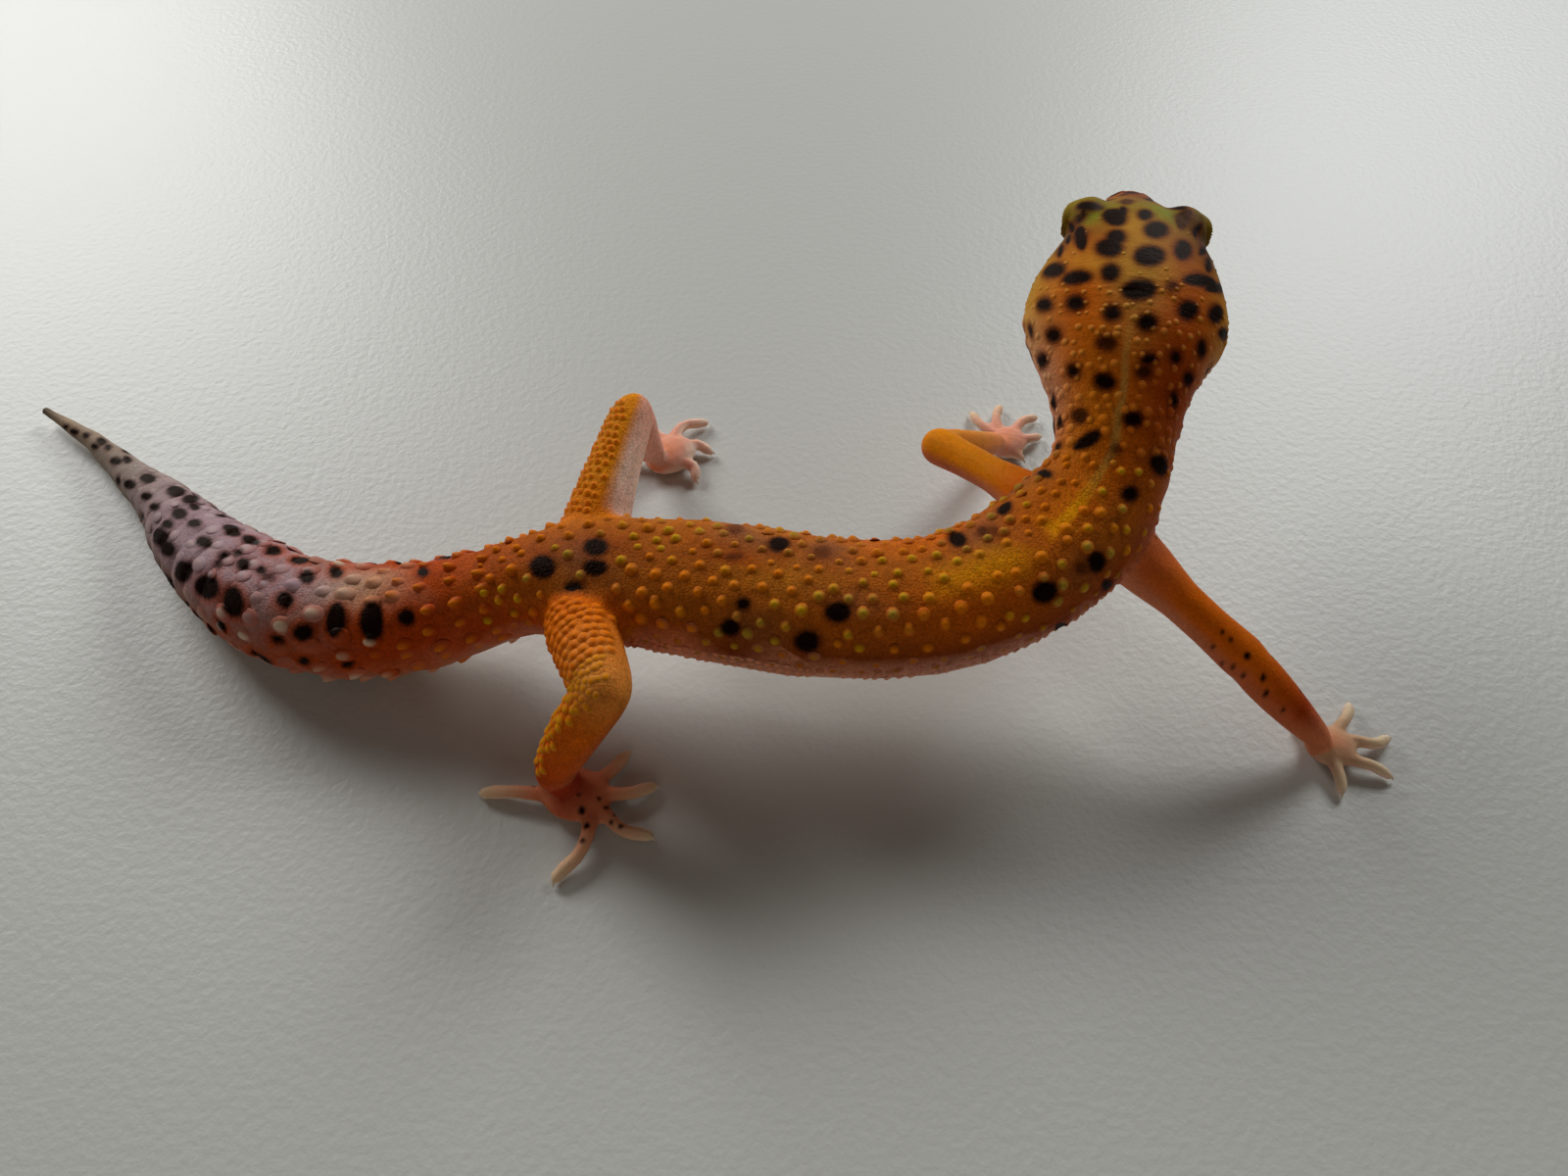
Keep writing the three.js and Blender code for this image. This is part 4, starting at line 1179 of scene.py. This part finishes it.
def on_limb(point):
    return (np.linalg.norm(LIMB_LINES[:, :3] - point, axis=1) < LIMB_LINES[:, 3] + 0.4).any()


def outward(at, angle):
    point, heading, right, up = backbone.frame(at)
    turn = math.radians(angle)
    return point, heading, right * math.sin(turn) + up * math.cos(turn)


def grow_on_body(coat, surface, at, angle, radius, height, shade, lean=0.2, long=1.0, margin=-0.15):
    """Scales at places round the backbone, left out in the middle of dark spots and where a limb joins."""
    at, angle = np.asarray(at, float), np.asarray(angle, float)
    thick = body_radius(at, angle)
    edge = spot_reading(at, angle, thick)[0]
    for i in np.flatnonzero(edge > margin):
        start, heading, direction = outward(at[i], angle[i])
        found = surface.leave(start, direction)
        if found is not None and found[3] < 1.25 * thick[i] and not on_limb(found[0]):
            chart = body_chart(at[i], angle[i])
            coat.grow(found, -heading, radius[i], height[i], shade[i], chart, lean, long)


def trunk_coat(surface, chance):
    """Domes on back and flanks in loose lengthwise rows, and low leaning scales along the belly's edge."""
    coat = Coat("trunk_scales")
    orange, yellow, olive, dusk = (linear(code) for code in ("e07c06", "cc9a0c", "8c7c3c", "985412"))
    at, across = np.array([(at, row * 1.66) for row in range(-8, 9)
                           for at in np.arange(82.0 + 1.35 * (row % 2), 153.5, 2.7)]).T
    at = at + chance.normal(0, 0.3, len(at))
    angle = np.degrees((across + chance.normal(0, 0.24, len(at))) / body_radius(at, 45))
    turn = np.abs(angle)
    size = np.interp(turn, [0, 20, 70, 100], [0.46, 0.58, 0.62, 0.38]) * chance.uniform(0.82, 1.14, len(at))
    size *= np.interp(at, [82, 92, 144, 153], [0.85, 1, 0.92, 0.72])
    tall = size * np.interp(at, [82, 104], [1.3, 1])
    tall *= np.interp(turn, [0, 15, 60, 95], [0.66, 0.85, 0.72, 0.5])
    thick = body_radius(at, angle)
    band = 0.5 + 0.5 * np.sin(at * 0.21 + angle * 0.05) + chance.normal(0, 0.3, len(at))
    shade = blended(orange, yellow, ease(0.4, 1.0, band))
    edge = spot_reading(at, angle, thick)[0]
    dim = np.maximum(0.5 * (1 - ease(0.6, 1.8, edge)), 1.6 * dusk_share(at, angle, thick))
    shade = blended(shade, olive, dim)
    shade = blended(shade, dusk, 0.7 * ease(66, 95, turn))
    keep = (turn < 101) & (stripe_share(at, angle, thick) < 0.45)
    grow_on_body(coat, surface, at[keep], angle[keep], size[keep], tall[keep], shade[keep], margin=0.3)
    for side in (1, -1):
        for middle, size, tall in ((96, 0.36, 0.16), (103, 0.36, 0.22), (110, 0.38, 0.22)):
            at = np.arange(88 + chance.uniform(0, 1), 150, 0.95)
            at = at + chance.normal(0, 0.1, len(at))
            angle = side * (middle + chance.normal(0, 1.2, len(at)))
            shade = body_tone(at, angle) * 1.03
            vary = chance.uniform(0.85, 1.15, len(at))
            grow_on_body(coat, surface, at, angle, size * vary, tall * vary, shade, lean=0.7)
    return coat


def tail_coat(surface, chance):
    """Whorls of blunt scales round the tail, drawn out towards its tip, some pale along its flanks."""
    coat = Coat("tail_scales", blend=(0.3, 1.0))
    at = float(RINGS_FROM)
    while at < 83:
        count = int(round(np.interp(at, [24, 50, 60, 83], [2.3, 2.7, 2.5, 2.8]) * body_radius(at, 40)[0]))
        angle = -180 + 360 * (np.arange(count) + chance.uniform(0, 1)) / count + chance.normal(0, 3, count)
        place = at + 0.5 + chance.normal(0, 0.2, count)
        turn = np.abs(angle)
        size = np.interp(place, [22, 40, 50, 60, 83], [0.36, 0.6, 0.78, 0.8, 0.58])
        size *= chance.uniform(0.8, 1.12, count) * np.interp(turn, [0, 70, 130], [0.9, 1.05, 0.9])
        tall = size * np.interp(place, [22, 42, 56, 70, 83], [0.18, 0.24, 0.38, 0.62, 0.9])
        tall *= 1 + 0.35 * ease(66, 74, place) * (1 - ease(20, 45, turn))
        tall *= 1 + 0.8 * ease(66, 90, turn) * ease(44, 54, place) * (1 - ease(62, 76, place))
        own = clear_tone(place, angle)
        flank = ease(50, 56, place) * (1 - ease(70, 77, place)) * ease(10, 35, turn)
        pale = flank * ease(0.45, 0.75, chance.uniform(0, 1, count)) * 0.8
        shade = blended(own * 1.05, linear("e0ccb0"), 1.1 * pale + 0.15 * (1 - ease(50, 58, place)))
        shade = blended(shade, linear("d8780c"), ease(66, 75, place) * (1 - 0.8 * pale))
        keep = turn < 135
        grow_on_body(coat, surface, place[keep], angle[keep], size[keep], tall[keep], shade[keep], lean=1.0,
                     long=1.35, margin=0.0)
        at += np.interp(at, RING_PLACES, RING_SPACING)
    return coat


def head_coat(surface, chance):
    """Low cobbles over the neck, small pale beads on the back of the head, tiny ones on the cheeks."""
    coat = Coat("head_scales")
    bead = linear("d89c40")
    at = 153.8
    odd = 0
    while at < 180:
        pitch = np.interp(at, [153, 164, 180], [1.55, 1.25, 1.2])
        count = int(360 / math.degrees(pitch / body_radius(at, 50)[0]))
        odd = 1 - odd
        angle = -180 + 360 * (np.arange(count) + 0.5 * odd) / count + chance.normal(0, 2.5, count)
        place = at + chance.normal(0, 0.25, count)
        turn = np.abs(angle)
        low = np.interp(place, [153, 165, 180], [84, 100, 92])
        front = ease(167, 171, place) * (turn < 75)
        keep = (turn < low) & (chance.uniform(0, 1, count) > 0.08 + 0.8 * front)
        keep &= stripe_share(place, angle, body_radius(place, angle)) < 0.35
        size = np.interp(place, [153, 160, 167, 180], [0.48, 0.36, 0.27, 0.18])
        size *= chance.uniform(0.75, 1.2, count)
        own = clear_tone(place, angle) * 1.08
        share = chance.uniform(0.0, 0.25, count) + 0.35 * ease(158, 164, place) * (turn < 60)
        shade = blended(own, bead, share)
        tall = size * np.interp(place, [153, 160, 180], [0.42, 0.4, 0.36])
        grow_on_body(coat, surface, place[keep], angle[keep], size[keep], tall[keep], shade[keep], lean=0.3,
                     margin=0.05)
        at += pitch * 0.85
    return coat


# Scaled stretches of each limb: from and to along it, spacing, radius, height share, tone, the way its
# scaled side faces and how squarely a scale has to face that way.
LIMB_COATS = [
    ("hind_right", 0.10, 0.86, 1.22, 0.54, 0.5, "dc700a", (-0.75, 0.0, 0.66), 0.0),
    ("hind_right", 0.86, 1.22, 0.92, 0.38, 0.36, "e0880e", (-0.85, 0.1, 0.5), 0.35),
    ("hind_right", 1.22, 1.95, 1.2, 0.54, 0.5, "dc9414", (-0.85, 0.2, 0.45), 0.55),
    ("hind_left", 0.12, 0.95, 1.15, 0.4, 0.6, "e0740c", (-0.9, -0.2, 0.4), 0.35),
    ("hind_left", 1.3, 1.9, 1.2, 0.36, 0.5, "e08830", (-0.9, -0.2, 0.4), 0.6),
]


def limb_coat(surface, chance):
    """Overlapping scales on the upper and rear faces of the thighs and the rear edge of the shanks."""
    coat = Coat("limb_scales")
    for name, first, last, pitch, size, tall, code, facing, square in LIMB_COATS:
        joints = np.array(LIMBS[name]["joints"])
        line = joints[:, :3] + SPINE_OFFSET
        facing = unit(np.array(facing))
        place, odd = first, 0
        while place < last:
            mark = place * 2
            behind, here, beyond = smooth_reading(range(5), line, mark + np.array([-0.1, 0, 0.1]))
            ahead = beyond - behind
            step = np.linalg.norm(ahead)
            ahead /= step
            thick = np.interp(mark, range(5), joints[:, 3])
            right = unit(np.cross(ahead, [0, 0, 1.0]))
            up = np.cross(right, ahead)
            count = max(6, int(2 * math.pi * thick / pitch))
            odd = 1 - odd
            for k in range(count):
                turn = 2 * math.pi * (k + 0.5 * odd) / count + chance.normal(0, 0.05)
                own = size * chance.uniform(0.85, 1.12)
                shade = linear(code) * chance.uniform(0.85, 1.15)
                start = here + ahead * chance.normal(0, 0.1)
                found = surface.leave(start, right * math.sin(turn) + up * math.cos(turn))
                if found is None or found[3] > 1.35 * thick or found[1] @ facing < square:
                    continue
                body_at, aside, above = backbone.place(found[0][None])
                if math.hypot(aside[0], above[0]) < body_radius(body_at, 90)[0] + 0.5:
                    continue
                chart = limb_chart(list(LIMBS).index(name), place, math.degrees(turn) % 360 - 180)
                coat.grow(found, ahead, own, own * tall, shade, chart, 0.8)
            place += pitch * 0.84 * 0.1 / step
    return coat


def lid_coat(surface, chance, count=36, radius=0.11, height=0.09):
    """A fringe of small rounded scales along the rims of the upper and lower eyelids."""
    coat = Coat("eyelid_scales")
    straw = linear("b8a448")
    for side in (1, -1):
        centre, facing, forward, up = eye_frame(side)
        for k in range(count):
            turn = 2 * math.pi * (k + chance.uniform(-0.1, 0.1)) / count
            tall = LID_TALL if math.sin(turn) > 0 else LID_TALL * LOWER_LID
            x, y = OPENING_AHEAD + math.cos(turn) * (LID_LONG + 0.22), math.sin(turn) * (tall + 0.22)
            ray = forward * x + up * y + facing * math.sqrt(max(EYE_BALL**2 - x * x - y * y, 0.5))
            found = surface.nearest(centre + unit(ray) * (LID_OUT + 0.1))
            at, aside, above = backbone.place(found[0][None])
            chart = body_chart(at[0], polar(aside, above)[0][0])
            shade = straw * chance.uniform(0.9, 1.1)
            coat.grow(found, forward * x + up * y, radius, height, shade, chart, -0.6)
    return coat


# ---- Claws and eyes ----

CLAW_PROFILE = [(0, 0), (0.2, 0), (0.18, 0.3), (0.14, 0.55), (0.09, 0.78), (0.04, 0.94), (0, 1)]


def claw_piece():
    """Twenty hooked claws, each spun as a cone and bent down from the top of its toe."""
    joined = bmesh.new()
    for limb in LIMBS.values():
        for toe in limb["toes"]:
            claw = spun(CLAW_PROFILE)
            pad, tip = toe_axis(limb, toe)[-2:]
            start = pad - unit(tip - pad) * 0.25 + np.array([0, 0, 0.12])
            end = pad + 0.6 * (tip - pad)
            end[2] = 0.16
            ahead = unit(end - start)
            side = unit(np.cross(ahead, [0, 0, 1.0]))
            up = np.cross(side, ahead)
            for vertex in claw.verts:
                x, y, z = vertex.co
                hook = start + (end - start) * z + up * 0.16 * math.sin(math.pi * z) + side * x + up * y
                vertex.co = Vector(hook * MM)
            joined.from_mesh(mesh_of(claw, "claw"))
    bmesh.ops.recalc_face_normals(joined, faces=joined.faces)
    mesh = mesh_of(joined, "claws")
    mesh.shade_smooth()
    mesh.materials.append(claw_horn())
    claws = new_object("claws", mesh)
    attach(claws, "root")


def eye_piece(name, side, finish):
    """An eyeball with a slightly domed cornea. Its gaze attribute gives each point's place round the
    pupil."""
    centre, facing, forward, up = eye_frame(side)
    ball = bmesh.new()
    bmesh.ops.create_icosphere(ball, subdivisions=5, radius=EYE_BALL)
    gaze = []
    for vertex in ball.verts:
        point = np.array(vertex.co)
        x, y, z = point @ forward - OPENING_AHEAD, point @ up, point @ facing
        gaze.append((x, y, z))
        bulge = 1 + 0.05 * (z > 0) * (1 - float(ease(1.2, 1.9, math.hypot(x, y))))
        vertex.co = Vector((centre + point * bulge) * MM)
    mesh = mesh_of(ball, name)
    mesh.shade_smooth()
    store(mesh, "gaze", "FLOAT_VECTOR", np.array(gaze))
    mesh.materials.append(finish)
    eye = new_object(name, mesh)
    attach(eye, "root")
    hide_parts("eye_right" if side > 0 else "eye_left")


# ---- Making the pieces ----

skin = shape_skin(cast_skin())
paint_skin(skin.data)
skin.data.materials.append(granular_skin())
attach(skin, "root")
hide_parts(*FLESH)

surface = SkinSurface(skin.data)
chance = np.random.default_rng(SEED + 1)
dome = dome_template()
scale_finish = raised_scale_finish()
for coat, slot in (
    (trunk_coat(surface, chance), "back"),
    (tail_coat(surface, chance), "tail"),
    (head_coat(surface, chance), "head"),
    (limb_coat(surface, chance), "limb"),
    (lid_coat(surface, chance), "head"),
):
    coat.build(dome, scale_finish)
claw_piece()
eye_look = eye_finish()
eye_piece("eyeball_right", 1, eye_look)
eye_piece("eyeball_left", -1, eye_look)

bench = bmesh.new()
bmesh.ops.create_grid(bench, x_segments=1, y_segments=1, size=1.5)
floor = new_object("floor", mesh_of(bench, "floor"))
floor.data.materials.append(table_top())

# ---- Light and camera ----


def softbox(name, place, size, power, colour):
    lamp = bpy.data.lights.new(name, "AREA")
    lamp.shape = "RECTANGLE"
    lamp.size, lamp.size_y = size
    lamp.energy = power
    lamp.color = colour
    box = new_object(name, lamp)
    box.location = place
    aim = Vector((0.01, -0.01, 0.0)) - Vector(place)
    box.rotation_euler = aim.to_track_quat("-Z", "Y").to_euler()


softbox("window_left", (-0.50, 0.62, 0.42), (0.45, 0.35), 4.8, (1.0, 1.0, 0.98))
softbox("window_right", (0.42, 0.62, 0.46), (0.36, 0.30), 3.4, (0.98, 1.0, 1.0))
softbox("warm_fill", (0.0, -0.55, 0.22), (0.5, 0.3), 0.35, (1.0, 0.9, 0.78))

sky = bpy.data.worlds.new("studio_fill")
sky.use_nodes = True
sky.node_tree.nodes["Background"].inputs["Color"].default_value = (1.0, 0.9, 0.8, 1.0)
sky.node_tree.nodes["Background"].inputs["Strength"].default_value = 0.055
bpy.context.scene.world = sky
bpy.context.scene.view_settings.view_transform = "Standard"

lens = bpy.data.cameras.new("camera")
lens.lens = 27.07
lens.sensor_width = 36.0
lens.clip_start = 0.005
camera = new_object("camera", lens)
camera.location = (0.0162, -0.08609, 0.110)
camera.rotation_euler = (math.radians(38.0), 0.0, 0.0)
bpy.context.scene.camera = camera
